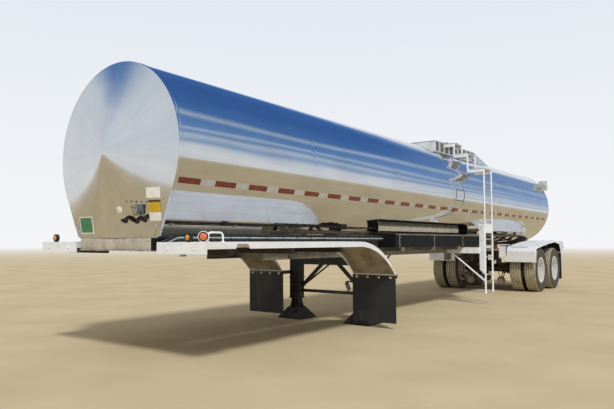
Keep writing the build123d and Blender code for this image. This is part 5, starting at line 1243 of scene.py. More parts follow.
# Ladder: white-enamelled tube, its joints brazed with full fillets, rungs ribbed for the boot and
# worn to dark metal in their middles. Cast shoes close the open ends of the rails.
LADDER_XS = (HEAD_FACE - 7.3, HEAD_FACE - 7.7)
LADDER_Y = 1.2
LADDER_FOOT_Z = 0.2125
RUNG_ZS = [0.23 + 0.33 * n for n in range(7)]
RAIL_R = 0.017
RUNG_R = 0.011
RIB_COUNT = 24
RIB_PITCH = 0.0131
RUNG_FILLET = (
    # radius and distance from the rail's axis
    (RUNG_R - MM, RAIL_R - 0.004), (RUNG_R + 0.006, RAIL_R - 0.003),
    (RUNG_R + 0.003, RAIL_R + 0.004), (RUNG_R - MM, RAIL_R + 0.007),
)
RUNG_RIB = ((RUNG_R - MM, -0.003), (RUNG_R + 0.0015, -0.002), (RUNG_R + 0.0015, 0.002), (RUNG_R - MM, 0.003))
RAIL_SHOE = ((0, 0), (RAIL_R + 0.003, 0), (RAIL_R + 0.003, 0.05), (RAIL_R - MM, 0.054), (0, 0.054))
dress(enamel, "ladder", "ladder_outrigger")
# Rung steel where boots have taken the enamel: dark and half polished, dusty in its ribs.
rung_steel = surface(
    "steel_rung_boot_worn", ("#6a645c", "#a39c90"), 30, (0.35, 0.7), 0.5, ((2, 2, 2), 0.1, 0.15),
    edge=("#d9d7d0", 2), dust=("#6b5c48", 0.5),
)
fillets = bmesh.new()
rung_ribs = bmesh.new()
for z in RUNG_ZS:
    for x, inward in zip(LADDER_XS, (-1, 1)):
        lathe(fillets, RUNG_FILLET, facing((x, LADDER_Y, z), (inward, 0, 0)), 16, closed=True)
    for n in range(RIB_COUNT):
        place = facing((LADDER_XS[1] + 0.05 + n * RIB_PITCH, LADDER_Y, z), FORWARD)
        lathe(rung_ribs, RUNG_RIB, place, 12, closed=True)
for x in LADDER_XS:
    lathe(fillets, RAIL_SHOE, Matrix.Translation((x, LADDER_Y, LADDER_FOOT_Z)), 20)
piece("ladder_fillets", fillets, enamel, sharp=60)
piece("ladder_rung_ribs", rung_ribs, rung_steel)
post_bolts = bmesh.new()
for front in (1, -1):
    post_face = LADDER_XS[0] + front * 0.025
    bolts(post_bolts, [post_face], [LADDER_Y - 0.0535], (0.90, 0.975, 1.43, 1.47), (front, 0, 0), 17)
panel_xs = (LADDER_XS[0] - 0.05, LADDER_XS[1] + 0.05)
bolts(post_bolts, panel_xs, [LADDER_Y + 0.005], (1.36, 1.485), (0, 1, 0), 15)
piece("ladder_post_bolts", post_bolts, plated)

# Steps from the ladder up to the spill dam: open gratings of aluminium flat bar on edge, toothed
# along their tops, each framed all round and clipped to the ladder's stepped frames.
STEP_SPANS = (
    # Y from, Y to, Z of the frame's tube
    (0.885, 1.2, 2.52),
    (0.62, 0.885, 2.83),
    (0.42, 0.62, 3.05),
)
GRATE_T = 0.025
GRATE_BARS = 13
BAR_T = 0.005
TOOTH_PITCH = 0.02
TOOTH_LEN = 0.01
TOOTH_H = 0.004
# Extruded aluminium with lines along each bar, bright at the teeth and dusty below.
grate_aluminium = surface(
    "aluminium_extruded_grating", ("#c2c5c6", "#dedfdf"), 60, (0.3, 0.5), 0.6, ((2, 40, 2), 0.03, 0.08),
    edge=("#f2f2f2", 2), dust=("#b0a793", 0.3),
)
gratings = bmesh.new()
bar_step = (LADDER_XS[0] - LADDER_XS[1] - BAR_T) / (GRATE_BARS - 1)
for y_from, y_to, z in STEP_SPANS:
    base = z + RAIL_R
    top = base + GRATE_T
    y_from += MM
    for y in (y_from, y_to - BAR_T - MM):
        slab(gratings, (LADDER_XS[1], y, base), (LADDER_XS[0], y + BAR_T, top), 0.8, segments=1)
    for n in range(GRATE_BARS):
        x = LADDER_XS[1] + n * bar_step
        slab(gratings, (x, y_from, base), (x + BAR_T, y_to - MM, top - 3 * MM), 0.8, segments=1)
        for k in range(int((y_to - y_from) / TOOTH_PITCH)):
            y = y_from + 0.006 + k * TOOTH_PITCH
            slab(gratings, (x, y, top - TOOTH_H), (x + BAR_T, y + TOOTH_LEN, top), 0.6, segments=1)
    for k in range(1, 4):
        y = y_from + k * (y_to - y_from) / 4
        low = (LADDER_XS[1], y, base + 4 * MM)
        slab(gratings, low, (LADDER_XS[0], y + BAR_T, top - 6 * MM), 0.8, segments=1)
piece("step_gratings", gratings, grate_aluminium, replaces=["step_treads"])

# Spill dam: stainless sheet walls round the manway, welded to the jacket, upright ahead and with a
# ramp behind. The side walls are ribbed, and their top edge is a rolled bead over a row of rivets.
DAM_LOW, DAM_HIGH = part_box("spill_dam")
DAM_Y = DAM_HIGH.y
DAM_FRONT = HEAD_FACE - 6.91
DAM_REAR = HEAD_FACE - 8.93
DAM_RIBS = 9
DAM_RIB_W = 0.1
DAM_BEAD_R = 0.009
DAM_RIVETS = 24
DAM_RIVET = ((0, 0), (0.006, 0), (0.005, 0.003), (0, 0.004))
# Stainless sheet as brushed at the mill: bright but without a clear mirror, dusty along its foot.
dam_steel = surface(
    "stainless_brushed_spill_dam", ("#dddddb", "#f1f0ec"), 120, (0.25, 0.4), 0.85, ((3, 120, 3), 0.03, 0.06),
    edge=("#ffffff", 3), dust=("#cfc6b2", 0.3), stain=("#a8a196", (30, 30, 160)),
)
# Rolled ribs, much darker than the wall, with upright runs.
rib_steel = surface(
    "stainless_rolled_ribs_dark", ("#6a6964", "#8d8b85"), 60, (0.4, 0.6), 0.6, ((3, 3, 60), 0.08, 0.12),
    edge=("#b5b3ad", 3), dust=("#b3a88f", 0.3), stain=("#47433b", (20, 20, 120)),
)
dress(dam_steel, "spill_dam")
dam_trim = bmesh.new()
dam_ribs = bmesh.new()
bead_z = DAM_HIGH.z - 6 * MM
bead_y = DAM_Y - 4 * MM
for side in SIDES.values():
    rod(dam_trim, [(x, side * bead_y, bead_z) for x in (DAM_REAR, DAM_FRONT)], DAM_BEAD_R, 12)
    for n in range(DAM_RIBS):
        x = DAM_REAR + 0.06 + n * (DAM_FRONT - DAM_REAR - 0.06 - DAM_RIB_W) / (DAM_RIBS - 1)
        low = (x, side * (DAM_Y - 2 * MM), DAM_LOW.z + 0.02)
        slab(dam_ribs, low, (x + DAM_RIB_W, side * (DAM_Y + 0.012), DAM_HIGH.z - 0.016), 3)
    for n in range(DAM_RIVETS):
        x = DAM_REAR + 0.03 + n * (DAM_FRONT - DAM_REAR - 0.06) / (DAM_RIVETS - 1)
        lathe(dam_trim, DAM_RIVET, facing((x, side * DAM_Y, DAM_HIGH.z - 0.028), (0, side, 0)), 8)
for x in (DAM_FRONT, DAM_REAR):
    rod(dam_trim, [(x, -bead_y, bead_z), (x, bead_y, bead_z)], DAM_BEAD_R, 12)
piece("spill_dam_trim", dam_trim, dam_steel)
piece("spill_dam_ribs", dam_ribs, rib_steel)

# Manway: a stainless neck with rolled hoops, and a dished lid pulled down by six swing bolts with
# cast wing nuts. The bolts swing out of the slots before the lid opens.
MAN_X = HEAD_FACE - 8.33
NECK_R = 0.255
NECK_TOP = TANK_R + AXIS_Z + 0.2
NECK_HOOP = ((-0.002, -0.007), (0.008, -0.004), (0.008, 0.004), (-0.002, 0.007))
LID_BEAD = ((0.2, -0.001), (0.208, 0.017), (0.216, 0.014), (0.222, -0.001))
CLAMP_RING = 0.2725
CLAMP_STUD = ((0, 0), (0.013, 0), (0.013, 0.007), (0.009, 0.009), (0.008, 0.034), (0, 0.036))
WING_REACH = 0.032
# Pressed stainless left satin from the drawing die: a soft broad shine, dusty where it is level.
satin_steel = surface(
    "stainless_satin_pressed", ("#c1c3c4", "#d6d8d9"), 90, (0.16, 0.3), 1.0, ((2, 2, 40), 0.02, 0.05),
    edge=("#f0f0f0", 3), dust=("#a1967f", 0.35),
)
dress(satin_steel, "manway_neck", "manway_lid")
neck_trim = bmesh.new()
neck_place = Matrix.Translation((MAN_X, 0, 0))
for z in (NECK_TOP - 0.024, NECK_TOP - 0.11, AXIS_Z + TANK_R + 0.012):
    lathe(neck_trim, [(NECK_R + out, z + rise) for out, rise in NECK_HOOP], neck_place, 72, closed=True)
piece("manway_neck_hoops", neck_trim, satin_steel)
lid_trim = bmesh.new()
flange_z = NECK_TOP + 0.014
lathe(lid_trim, [(radius, flange_z + rise) for radius, rise in LID_BEAD], neck_place, 72, closed=True)
clamps = bmesh.new()
for a in [radians(30 + 60 * n) for n in range(6)]:
    stud = Matrix.Translation((MAN_X + CLAMP_RING * cos(a), CLAMP_RING * sin(a), flange_z))
    lathe(clamps, CLAMP_STUD, stud, 16)
    turned = stud @ Matrix.Rotation(a + pi / 2, 4, "Z")
    for wing in (1, -1):
        low, high = sorted((0, wing * WING_REACH))
        slab(clamps, (low, -0.004, 0.011), (high, 0.004, 0.027), 3, turned)
        tip = wing * 0.028
        slab(clamps, (tip - 0.006, -0.006, 0.016), (tip + 0.006, 0.006, 0.037), 3, turned)
piece("manway_lid_bead", lid_trim, satin_steel, body="manway_lid")
piece("manway_wing_nuts", clamps, zinc, body="manway_lid", replaces=["manway_clamps"])

# Vents: cast aluminium breather caps with louvred skirts on short pipes, and a smaller one that
# covers the air inlet, all inside the dam.
VENTS = (
    # distance back, Y, radius, rise over the tank's top
    (7.9, -0.12, 0.06, 0.25),
    (8.82, 0.0, 0.06, 0.23),
    (8.82, 0.22, 0.04, 0.15),
)
LOUVRE_COUNT = 4
# Sand-cast aluminium: dull and pitted, with grey dirt in its pores.
cast_aluminium = surface(
    "aluminium_sand_cast", ("#9d9fa0", "#bcbebe"), 25, (0.45, 0.65), 0.8, ((2, 2, 2), 0.25, 0.1),
    edge=("#d8d8d8", 3), dust=("#9b907a", 0.4), stain=("#6e675a", (14, 14, 60)),
)
vents = bmesh.new()
for vent_back, y, radius, rise in VENTS:
    top = AXIS_Z + TANK_R + rise
    base = AXIS_Z + sqrt(TANK_R**2 - y**2) - 4 * MM
    place = Matrix.Translation((HEAD_FACE - vent_back, y, 0))
    outline = [(0, base), (radius * 0.85, base), (radius * 0.85, base + 0.012), (radius / 2, base + 0.016)]
    outline += [(radius / 2, top - radius + 4 * MM)]
    for n in range(LOUVRE_COUNT):
        z = top - radius * (1 - 0.17 * n)
        outline += [(radius * 0.62, z), (radius, z + MM)]
        outline += [(radius, z + radius * 0.09), (radius * 0.62, z + radius * 0.13)]
    outline += [(radius, top - radius * 0.3), (radius * 0.96, top - radius * 0.12)]
    outline += [(radius * 0.6, top - 2 * MM), (0, top)]
    lathe(vents, outline, place, 36)
    bolt(vents, place @ Matrix.Translation((0, 0, top - 0.012)), 14)
piece("vent_caps", vents, cast_aluminium, replaces=["tank_vents"])

# Suspension: leaf springs of four tempered leaves with clips round them, held down by U-bolts on
# the axles. They have never been painted, and years of rain have rusted them all over.
AXLE_Z = 0.505
AXLE_XS = {"front": HEAD_FACE - 10.97, "rear": HEAD_FACE - 12.215}
SPRING_Y = 0.43
SPRING_HALF = 0.505
SPRING_SAG = 0.06
SPRING_TOP = 0.70
SPRING_STEPS = 24
LEAF_HALF_W = 0.038
LEAF_T = 0.0135
LEAF_GAP = 0.0004
LEAF_END_SHARE = 0.55
LEAVES = (1.0, 0.92, 0.68, 0.44)
CLIP_AT = 0.3
CLIP_HALF = 0.014
CLIP_WALL = 0.005
SEAT_HALF_X = 0.07
SEAT_HALF_Y = 0.046
SEAT_T = 0.014
U_BOLT_X = 0.05
U_BOLT_R = 0.008
U_BOLT_CROWN = 0.012
# Spring steel, rusted in fine scales from dark brown to dull orange, with dust over them.
rusty_steel = surface(
    "steel_spring_rusted", ("#33261f", "#65493a"), 45, (0.75, 0.95), 0.1, ((4, 4, 4), 0.4, 0.2),
    edge=("#2c1e17", 4), dust=("#8b7b62", 0.5), stain=("#7c5a42", (30, 30, 30)),
)
# Axle paint: dark, flaking, with rust coming through at the edges.
axle_paint = surface(
    "steel_axle_paint_flaking", ("#1f1d1b", "#3b2c22"), 60, (0.6, 0.85), 0.1, ((5, 5, 5), 0.2, 0.12),
    edge=("#6d4429", 4), dust=("#857660", 0.7), stain=("#6a4329", (60, 60, 60)),
)
dress(rusty_steel, "spring_equalisers", "torque_rods")
dress(black_paint, "suspension_subframe")
dress(axle_paint, "axles")
springs = bmesh.new()
fixings = bmesh.new()
sag_r = (SPRING_HALF**2 + SPRING_SAG**2) / (2 * SPRING_SAG)
seat_z = SPRING_TOP - SPRING_SAG
for axle_x in AXLE_XS.values():
    for y in (SPRING_Y, -SPRING_Y):
        for layer, share in enumerate(LEAVES):
            half = SPRING_HALF * share
            rings = []
            for n in range(SPRING_STEPS + 1):
                x = -half + 2 * half * n / SPRING_STEPS
                top = seat_z + sag_r - sqrt(sag_r**2 - x**2) - layer * (LEAF_T + LEAF_GAP)
                low = top - LEAF_T * (LEAF_END_SHARE if n in (0, SPRING_STEPS) else 1.0)
                corners = ((-LEAF_HALF_W, top), (LEAF_HALF_W, top), (LEAF_HALF_W, low), (-LEAF_HALF_W, low))
                rings.append([springs.verts.new((axle_x + x, y + dy, z)) for dy, z in corners])
            skin(springs, rings)
        clip_z = seat_z + sag_r - sqrt(sag_r**2 - CLIP_AT**2)
        clip_half_y = LEAF_HALF_W + CLIP_WALL
        for clip_x in (axle_x - CLIP_AT, axle_x + CLIP_AT):
            low = (clip_x - CLIP_HALF, y - clip_half_y, clip_z - 0.043)
            slab(fixings, low, (clip_x + CLIP_HALF, y + clip_half_y, clip_z + 0.006), 2)
        low = (axle_x - SEAT_HALF_X, y - SEAT_HALF_Y, seat_z)
        slab(fixings, low, (axle_x + SEAT_HALF_X, y + SEAT_HALF_Y, seat_z + SEAT_T), 3)
        low = (axle_x - SEAT_HALF_X, y - 0.06, AXLE_Z - 0.086)
        slab(fixings, low, (axle_x + SEAT_HALF_X, y + 0.06, AXLE_Z - 0.068), 3)
        for x in (axle_x - U_BOLT_X, axle_x + U_BOLT_X):
            for leg_y in (y - SEAT_HALF_Y, y + SEAT_HALF_Y):
                rod(fixings, [(x, leg_y, AXLE_Z - 0.105), (x, leg_y, seat_z + 0.02)], U_BOLT_R, 10)
                nut_place = Matrix.Translation((x, leg_y, AXLE_Z - 0.086)) @ Matrix.Rotation(pi, 4, "X")
                bolt(fixings, nut_place, 24)
            arch = [(SEAT_HALF_Y * cos(a), U_BOLT_CROWN * sin(a)) for a in [pi * k / 8 for k in range(9)]]
            rod(fixings, [(x, y + dy, seat_z + 0.02 + rise) for dy, rise in arch], U_BOLT_R, 10)
piece("leaf_spring_stacks", springs, rusty_steel, replaces=["leaf_springs"])
piece("spring_fixings", fixings, rusty_steel)

# Hangers: welded boxes under the subframe with a bolt through each spring end, and the rubber
# bushes of the torque rods that run from them to the axles.
HANGER_XS = (AXLE_XS["front"] + 0.52, HEAD_FACE - 11.5925, AXLE_XS["rear"] - 0.52)
HANGER_Z = 0.80
HANGER_WASHER = ((0, -0.001), (0.04, -0.001), (0.04, 0.006), (0.03, 0.009), (0, 0.009))
TORQUE_ROD_Y = 0.33
BUSH_HALF = 0.03
BUSH_R = 0.034
AXLE_CLAMP_R = 0.07
hangers = bmesh.new()
for side in SIDES.values():
    for hanger_x in HANGER_XS:
        for face in (1, -1):
            y = side * SPRING_Y + face * LEAF_HALF_W
            lathe(hangers, HANGER_WASHER, facing((hanger_x, y, HANGER_Z), (0, face, 0)), 20)
            bolt(hangers, facing((hanger_x, y + face * 0.009, HANGER_Z), (0, face, 0)), 30)
    for axle_x, hanger_x in zip(AXLE_XS.values(), HANGER_XS):
        bush_ys = (side * TORQUE_ROD_Y - BUSH_HALF, side * TORQUE_ROD_Y + BUSH_HALF)
        rod(hangers, [(hanger_x, y, 0.82) for y in bush_ys], BUSH_R, 24)
        rod(hangers, [(axle_x, y, AXLE_Z) for y in bush_ys], AXLE_CLAMP_R, 24)
piece("hanger_bushes", hangers, rusty_steel)

# Brake chambers: two pressed steel pans clamped rim to rim by a bolted band, on an arm from the
# axle, with rubber lines up to the frame. They are rusted through their paint.
CHAMBER_R = 0.1
CHAMBER_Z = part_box("brake_chambers")[0].z + CHAMBER_R
CHAMBER_Y = 0.38
CHAMBER_PANS = (
    # radius and distance along the chamber
    (0, -0.075), (0.05, -0.075), (0.062, -0.07), (0.08, -0.05), (0.086, -0.01),
    (0.097, -0.007), (0.1, -0.002), (0.1, 0.008), (0.097, 0.012), (0.086, 0.015),
    (0.083, 0.05), (0.068, 0.07), (0.03, 0.075), (0, 0.075),
)
BAND_BOLT_R = 0.104
ARM_HALF = 0.024
# Grey enamel that rust has bled through in blotches and runs.
chamber_paint = surface(
    "steel_grey_enamel_rust_bled", ("#8b807b", "#b3a8a1"), 50, (0.5, 0.75), 0.0, ((3, 3, 3), 0.15, 0.1),
    edge=("#5d4033", 3), dust=("#9b8d76", 0.3), stain=("#74503f", (30, 30, 60)),
)
chambers = bmesh.new()
lines = bmesh.new()
for axle_x in AXLE_XS.values():
    for side in SIDES.values():
        centre = Vector((axle_x + 0.25, side * CHAMBER_Y, CHAMBER_Z))
        lathe(chambers, CHAMBER_PANS, facing(centre, FORWARD), 40)
        for turn in (radians(70), radians(250)):
            lug = centre + Vector((0.003, BAND_BOLT_R * cos(turn), BAND_BOLT_R * sin(turn)))
            bolt(chambers, facing(lug, (0, -sin(turn), cos(turn))), 15)
        bolt(chambers, facing(centre + Vector((0.075, 0, 0)), FORWARD), 22)
        arm = (Vector((axle_x + 0.02, side * CHAMBER_Y, AXLE_Z - 0.03)), centre + Vector((-0.06, 0, 0.03)))
        for shift in (-ARM_HALF, ARM_HALF):
            rod(chambers, [end + Vector((0, shift, 0)) for end in arm], 0.013, 8)
        push_rod = [centre - Vector((0.075, 0, 0)), (axle_x + 0.1, side * CHAMBER_Y, CHAMBER_Z + 0.02)]
        rod(chambers, push_rod, 0.011, 10)
        hose = [centre + Vector((0.02, side * -0.03, 0.09)), centre + Vector((0.05, side * -0.06, 0.28))]
        hose += [(axle_x + 0.12, side * 0.26, 0.62), (axle_x + 0.02, side * 0.2, 0.9)]
        rod(lines, bent(hose, 0.09), 0.008, 8)
piece("brake_chamber_pans", chambers, chamber_paint, replaces=["brake_chambers"])
piece("brake_hoses", lines, grommet_rubber)

# Tyres: twin 11R22.5 rib tyres on every hub. The tread has five ribs between grooves, notched at
# the shoulders; the sidewall has rim, mould and scuff rings.
TYRE_R = 0.505
TYRE_YS = (1.125, 0.79)
TYRE_WALL = (
    # radius and distance from the tyre's middle, from the bead out to the shoulder
    (0.286, 0.115), (0.296, 0.1185), (0.302, 0.1165), (0.308, 0.121), (0.330, 0.130), (0.345, 0.1345),
    (0.349, 0.1375), (0.354, 0.1365), (0.395, 0.14), (0.422, 0.1388), (0.426, 0.1405), (0.432, 0.1405),
    (0.436, 0.1370), (0.462, 0.1340), (0.477, 0.1307), (0.492, 0.1255), (0.499, 0.121), (0.5035, 0.112),
)
TREAD_HALF = 0.104
GROOVE_AT = (0.078, 0.027, -0.027, -0.078)
GROOVE_HALF_W = 0.006
GROOVE_DRAFT = 0.0015
GROOVE_DEPTH = 0.011
TYRE_TURNS = 240
NOTCH_EVERY = 5
NOTCH_DEPTH = 0.007
NOTCH_FROM_R = 0.485
NOTCH_SPAN = (0.1, 0.128)


def tyre_outline():
    """Points of (radius, across) round one tyre's section, from bead to bead."""
    tread = [(TYRE_R, TREAD_HALF)]
    for groove in GROOVE_AT:
        left, right = groove + GROOVE_HALF_W, groove - GROOVE_HALF_W
        floor_r = TYRE_R - GROOVE_DEPTH
        tread += [(TYRE_R, left), (floor_r, left - GROOVE_DRAFT)]
        tread += [(floor_r, right + GROOVE_DRAFT), (TYRE_R, right)]
    tread += [(TYRE_R, -TREAD_HALF)]
    return [*TYRE_WALL, *tread, *[(radius, -across) for radius, across in reversed(TYRE_WALL)]]


# Tyre rubber: black and matt on the flanks, and tan all over the tread with dried road dust.
tyre_rubber, tree, shader, spot = fresh("rubber_tyre_dusty_tread")
normal = add(tree, "ShaderNodeNewGeometry").outputs["Normal"]
across = add(tree, "ShaderNodeSeparateXYZ", {0: normal}).outputs["Y"]
flank = add(tree, "ShaderNodeMath", {0: across}, operation="ABSOLUTE")
tread_share = {"Value": flank, "From Min": 0.25, "From Max": 0.75, "To Min": 0.92, "To Max": 0.1}
tread_share = add(tree, "ShaderNodeMapRange", tread_share)
patch = add(tree, "ShaderNodeTexNoise", {"Vector": spot, "Scale": 14.0, "Detail": 7.0})
specks = add(tree, "ShaderNodeTexNoise", {"Vector": spot, "Scale": 220.0, "Detail": 3.0})
dusted = add(tree, "ShaderNodeMapRange", {"Value": patch, "From Min": 0.05, "From Max": 0.5})
dusted = add(tree, "ShaderNodeMath", {0: dusted, 1: tread_share}, operation="MULTIPLY")
wall = add(tree, "ShaderNodeMix", {0: patch, 6: "#161617", 7: "#2b2a29"}, data_type="RGBA").outputs[2]
dust = add(tree, "ShaderNodeMix", {0: specks, 6: "#aca084", 7: "#d9ceb5"}, data_type="RGBA").outputs[2]
finish = {
    "Base Color": add(tree, "ShaderNodeMix", {0: dusted, 6: wall, 7: dust}, data_type="RGBA").outputs[2],
    "Roughness": add(tree, "ShaderNodeMapRange", {"Value": dusted, "To Min": 0.55, "To Max": 0.95}),
    "Normal": add(tree, "ShaderNodeBump", {"Height": specks, "Distance": 0.4 * MM}),
}
feed(tree, shader, finish)

for end_name, axle_x in AXLE_XS.items():
    for side_name, side in SIDES.items():
        pair = bmesh.new()
        for tyre_y in TYRE_YS:
            rings = []
            for n, a in enumerate(round_angles(TYRE_TURNS)):
                ring = []
                for radius, width in tyre_outline():
                    shoulder = radius > NOTCH_FROM_R and NOTCH_SPAN[0] < abs(width) < NOTCH_SPAN[1]
                    if n % NOTCH_EVERY == 0 and shoulder:
                        radius -= NOTCH_DEPTH
                    point = (axle_x + radius * cos(a), side * (tyre_y + width), AXLE_Z + radius * sin(a))
                    ring.append(pair.verts.new(point))
                rings.append(ring)
            skin(pair, rings, capped=False, closed=True)
        name = f"{end_name}_{side_name}"
        piece(f"tyre_pair_{name}", pair, tyre_rubber, f"wheel_{name}", [f"tyres_{name}"], 30)

# Wheels: forged aluminium discs bolted face to face on the hub by ten flanged nuts, with hand
# holes, a valve stem and a cast hub whose cap is held by small bolts. The outer faces are polished.
DISC_Y = 0.9675
NUT_RING = 0.1425
NUT_COUNT = 10
STUD = ((0, 0.015), (0.011, 0.015), (0.011, 0.038), (0.008, 0.042), (0, 0.042))
HUB_FACE_Y = 1.12
HUB_BOLT_RING = 0.086
HUB_CAP_Y = 1.165
HUB_CAP = (
    # radius and height over the hub's face
    (0, -0.001), (0.06, -0.001), (0.064, 0.004), (0.06, 0.012), (0.04, 0.016),
    (0.038, 0.012), (0.012, 0.012), (0.01, 0.02), (0, 0.021),
)
CAP_SCREW_RING = 0.05
VALVE_STEM = ((0.245, 0.0), (0.24, 0.03), (0.215, 0.085))
DRUM_Y = 0.66
DRUM_R = 0.21
DRUM_RIBS = 30
DRUM_BAND_YS = (0.572, 0.745)
DRUM_BAND = ((0.204, -0.006), (0.219, -0.005), (0.219, 0.005), (0.204, 0.006))
# Forged aluminium, machined and polished: near white, with brake dust in small grey spots.
forged_wheel = surface(
    "aluminium_forged_wheel", ("#eaebeb", "#fafafa"), 70, (0.3, 0.42), 0.35, ((3, 3, 3), 0.03, 0.04),
    edge=("#ffffff", 3), dust=("#c4baa6", 0.15), stain=("#b9b1a2", (30, 30, 30)),
)


def bolt_ring(mesh, centre, radius, angles, along_y, across_mm):
    """Bolts on a circle round a centre, all pointing the same way along Y."""
    for a in angles:
        spot = Vector(centre) + radius * Vector((cos(a), 0, sin(a)))
        bolt(mesh, facing(spot, (0, along_y, 0)), across_mm)


for end_name, axle_x in AXLE_XS.items():
    for side_name, side in SIDES.items():
        name = f"{end_name}_{side_name}"
        dress(forged_wheel, f"wheel_{name}")
        hardware = bmesh.new()
        for a in round_angles(NUT_COUNT, 0.5):
            spot = (axle_x + NUT_RING * cos(a), side * DISC_Y, AXLE_Z + NUT_RING * sin(a))
            nut_place = facing(spot, (0, side, 0))
            bolt(hardware, nut_place, 33)
            lathe(hardware, STUD, nut_place, 12)
        hub_face = (axle_x, side * HUB_FACE_Y, AXLE_Z)
        bolt_ring(hardware, hub_face, HUB_BOLT_RING, round_angles(8), side, 14)
        lathe(hardware, HUB_CAP, facing((axle_x, side * HUB_CAP_Y, AXLE_Z), (0, side, 0)), 40)
        cap_face = (axle_x, side * (HUB_CAP_Y + 0.014), AXLE_Z)
        bolt_ring(hardware, cap_face, CAP_SCREW_RING, round_angles(6), side, 8)
        stem = [(axle_x + radius, side * (DISC_Y + out), AXLE_Z) for radius, out in VALVE_STEM]
        rod(hardware, bent(stem, 0.02), 0.005, 8)
        piece(f"wheel_hardware_{name}", hardware, forged_wheel, f"wheel_{name}")
        ribs = bmesh.new()
        for a in round_angles(DRUM_RIBS):
            spot = (axle_x + DRUM_R * cos(a), side * DRUM_Y, AXLE_Z + DRUM_R * sin(a))
            place = facing(spot, (0, side, 0), (cos(a), 0, sin(a)))
            slab(ribs, (-0.004, -0.006, -0.08), (0.004, 0.007, 0.08), 1, place, 1)
        for y in DRUM_BAND_YS:
            lathe(ribs, DRUM_BAND, facing((axle_x, side * y, AXLE_Z), (0, side, 0)), 60, closed=True)
        piece(f"brake_drum_ribs_{name}", ribs, rusty_steel, f"wheel_{name}")

# Rear fenders: one aluminium sheet over both wheels of a side, folded down ahead and behind, with
# turned lips, a dark rubber strip in the slot at the top of its front fold and a beaded edge.
FENDER_LINE = (
    # X and Z of the sheet's outside, from the front foot over the top to the rear foot
    (-3.815, 0.700), (-3.815, 0.945), (-3.890, 1.045), (-4.815, 1.147),
    (-5.585, 1.195), (-6.035, 1.143), (-6.205, 0.950), (-6.205, 0.880),
)
FOLD_R = 0.05
LIP_H = 0.04
EDGE_BEAD_R = 0.0042
SLOT_Y = (0.72, 1.10)
SLOT_Z = 1.040
SLOT_BACK = 0.0711
SLOT_HALF = 0.005
FENDER_SEAMS = FENDER_LINE[3:5]
SEAM_HALF = 0.045
SEAM_RIVETS = ((-0.03, 0.0), (0.03, -0.002))
RIVET_YS = (0.68, 0.80, 0.92, 1.04, 1.16, 1.26)
FENDER_RIVET = ((0, -0.003), (0.007, -0.003), (0.006, 0.0015), (0.003, 0.003), (0, 0.0034))
FOOT_FOLD_ZS = (0.745, 0.915)
fender_line = bent([(x, 0, z) for x, z in FENDER_LINE], FOLD_R)
dress(weathered_aluminium, "rear_fenders")
dress(primer, "rear_fender_arms")


def inset(line, distance):
    """A line in the XZ plane, moved towards the wheels by a distance."""
    moved = []
    for n, point in enumerate(line):
        runs = [(b - a).normalized() for a, b in zip(line, line[1:])][max(0, n - 1) : n + 1]
        normals = [Vector((-run.z, 0, run.x)) for run in runs]
        middle = sum(normals, Vector()) / len(normals)
        moved.append(point + middle * distance / middle.length_squared)
    return moved


def strip(mesh, line, side, margin, thick):
    """A closed sheet along a line in the XZ plane, its outside on the line, over a fender's width."""
    y_from, y_to = sorted((side * (FENDER_IN + margin), side * (FENDER_OUT - margin)))
    rings = []
    for out, low in zip(line, inset(line, thick)):
        corners = [(out, y_from), (out, y_to), (low, y_to), (low, y_from)]
        rings.append([mesh.verts.new((point.x, y, point.z)) for point, y in corners])
    skin(mesh, rings)


fender_trim = bmesh.new()
slots = bmesh.new()
foot_x = FENDER_LINE[0][0]
for side in SIDES.values():
    for y in (FENDER_IN + 4 * MM, FENDER_OUT - 4.5 * MM):
        for line in (inset(fender_line, 1.5 * MM), inset(fender_line[3:-3], LIP_H)):
            rod(fender_trim, [(point.x, side * y, point.z) for point in line], EDGE_BEAD_R, 10)
    for x, z in FENDER_SEAMS:
        for y in RIVET_YS:
            for shift, rise in SEAM_RIVETS:
                lathe(fender_trim, FENDER_RIVET, Matrix.Translation((x + shift, side * y, z + rise)), 10)
        lap = [Vector((x + step, 0, z - 0.06 * abs(step) - 0.5 * MM)) for step in (SEAM_HALF, 0, -SEAM_HALF)]
        strip(fender_trim, inset(lap, -2 * MM), side, 2 * MM, 4 * MM)
    bolts(fender_trim, [foot_x], [side * y for y in RIVET_YS[1::2]], (0.75, 0.91), FORWARD, 13)
    for z in FOOT_FOLD_ZS:
        fold = [Vector((foot_x, 0, z - 4 * MM)), Vector((foot_x, 0, z + 4 * MM))]
        strip(fender_trim, inset(fold, -2 * MM), side, 10 * MM, 4 * MM)
    slot = (FENDER_LINE[1][0] - SLOT_BACK, side * sum(SLOT_Y) / 2, SLOT_Z)
    half = (SLOT_Y[1] - SLOT_Y[0]) / 2
    slab(slots, (-half, -SLOT_HALF, -3 * MM), (half, SLOT_HALF, 2 * MM), 1, facing(slot, (0.8, 0, 0.6)))
piece("rear_fender_trim", fender_trim, weathered_aluminium)
piece("rear_fender_slot_strips", slots, grommet_rubber)

# Undercoat: sprayed bitumen on the undersides of the fenders, thrown full of grit by the tyres. It
# is near black under the rear fenders and pale brown under the front ones.
UNDERCOAT_FROM = 0.007
UNDERCOAT_T = 0.004
ARCH_STEP = 0.05
ARCH_POINTS = 44
# Bitumen: black and rough as bark, with a little dust.
undercoat = surface(
    "bitumen_sprayed_undercoat", ("#14120f", "#2a2621"), 120, (0.7, 0.95), 0.0, ((12, 12, 12), 1.0, 0.2),
    dust=("#5a5040", 0.3),
)
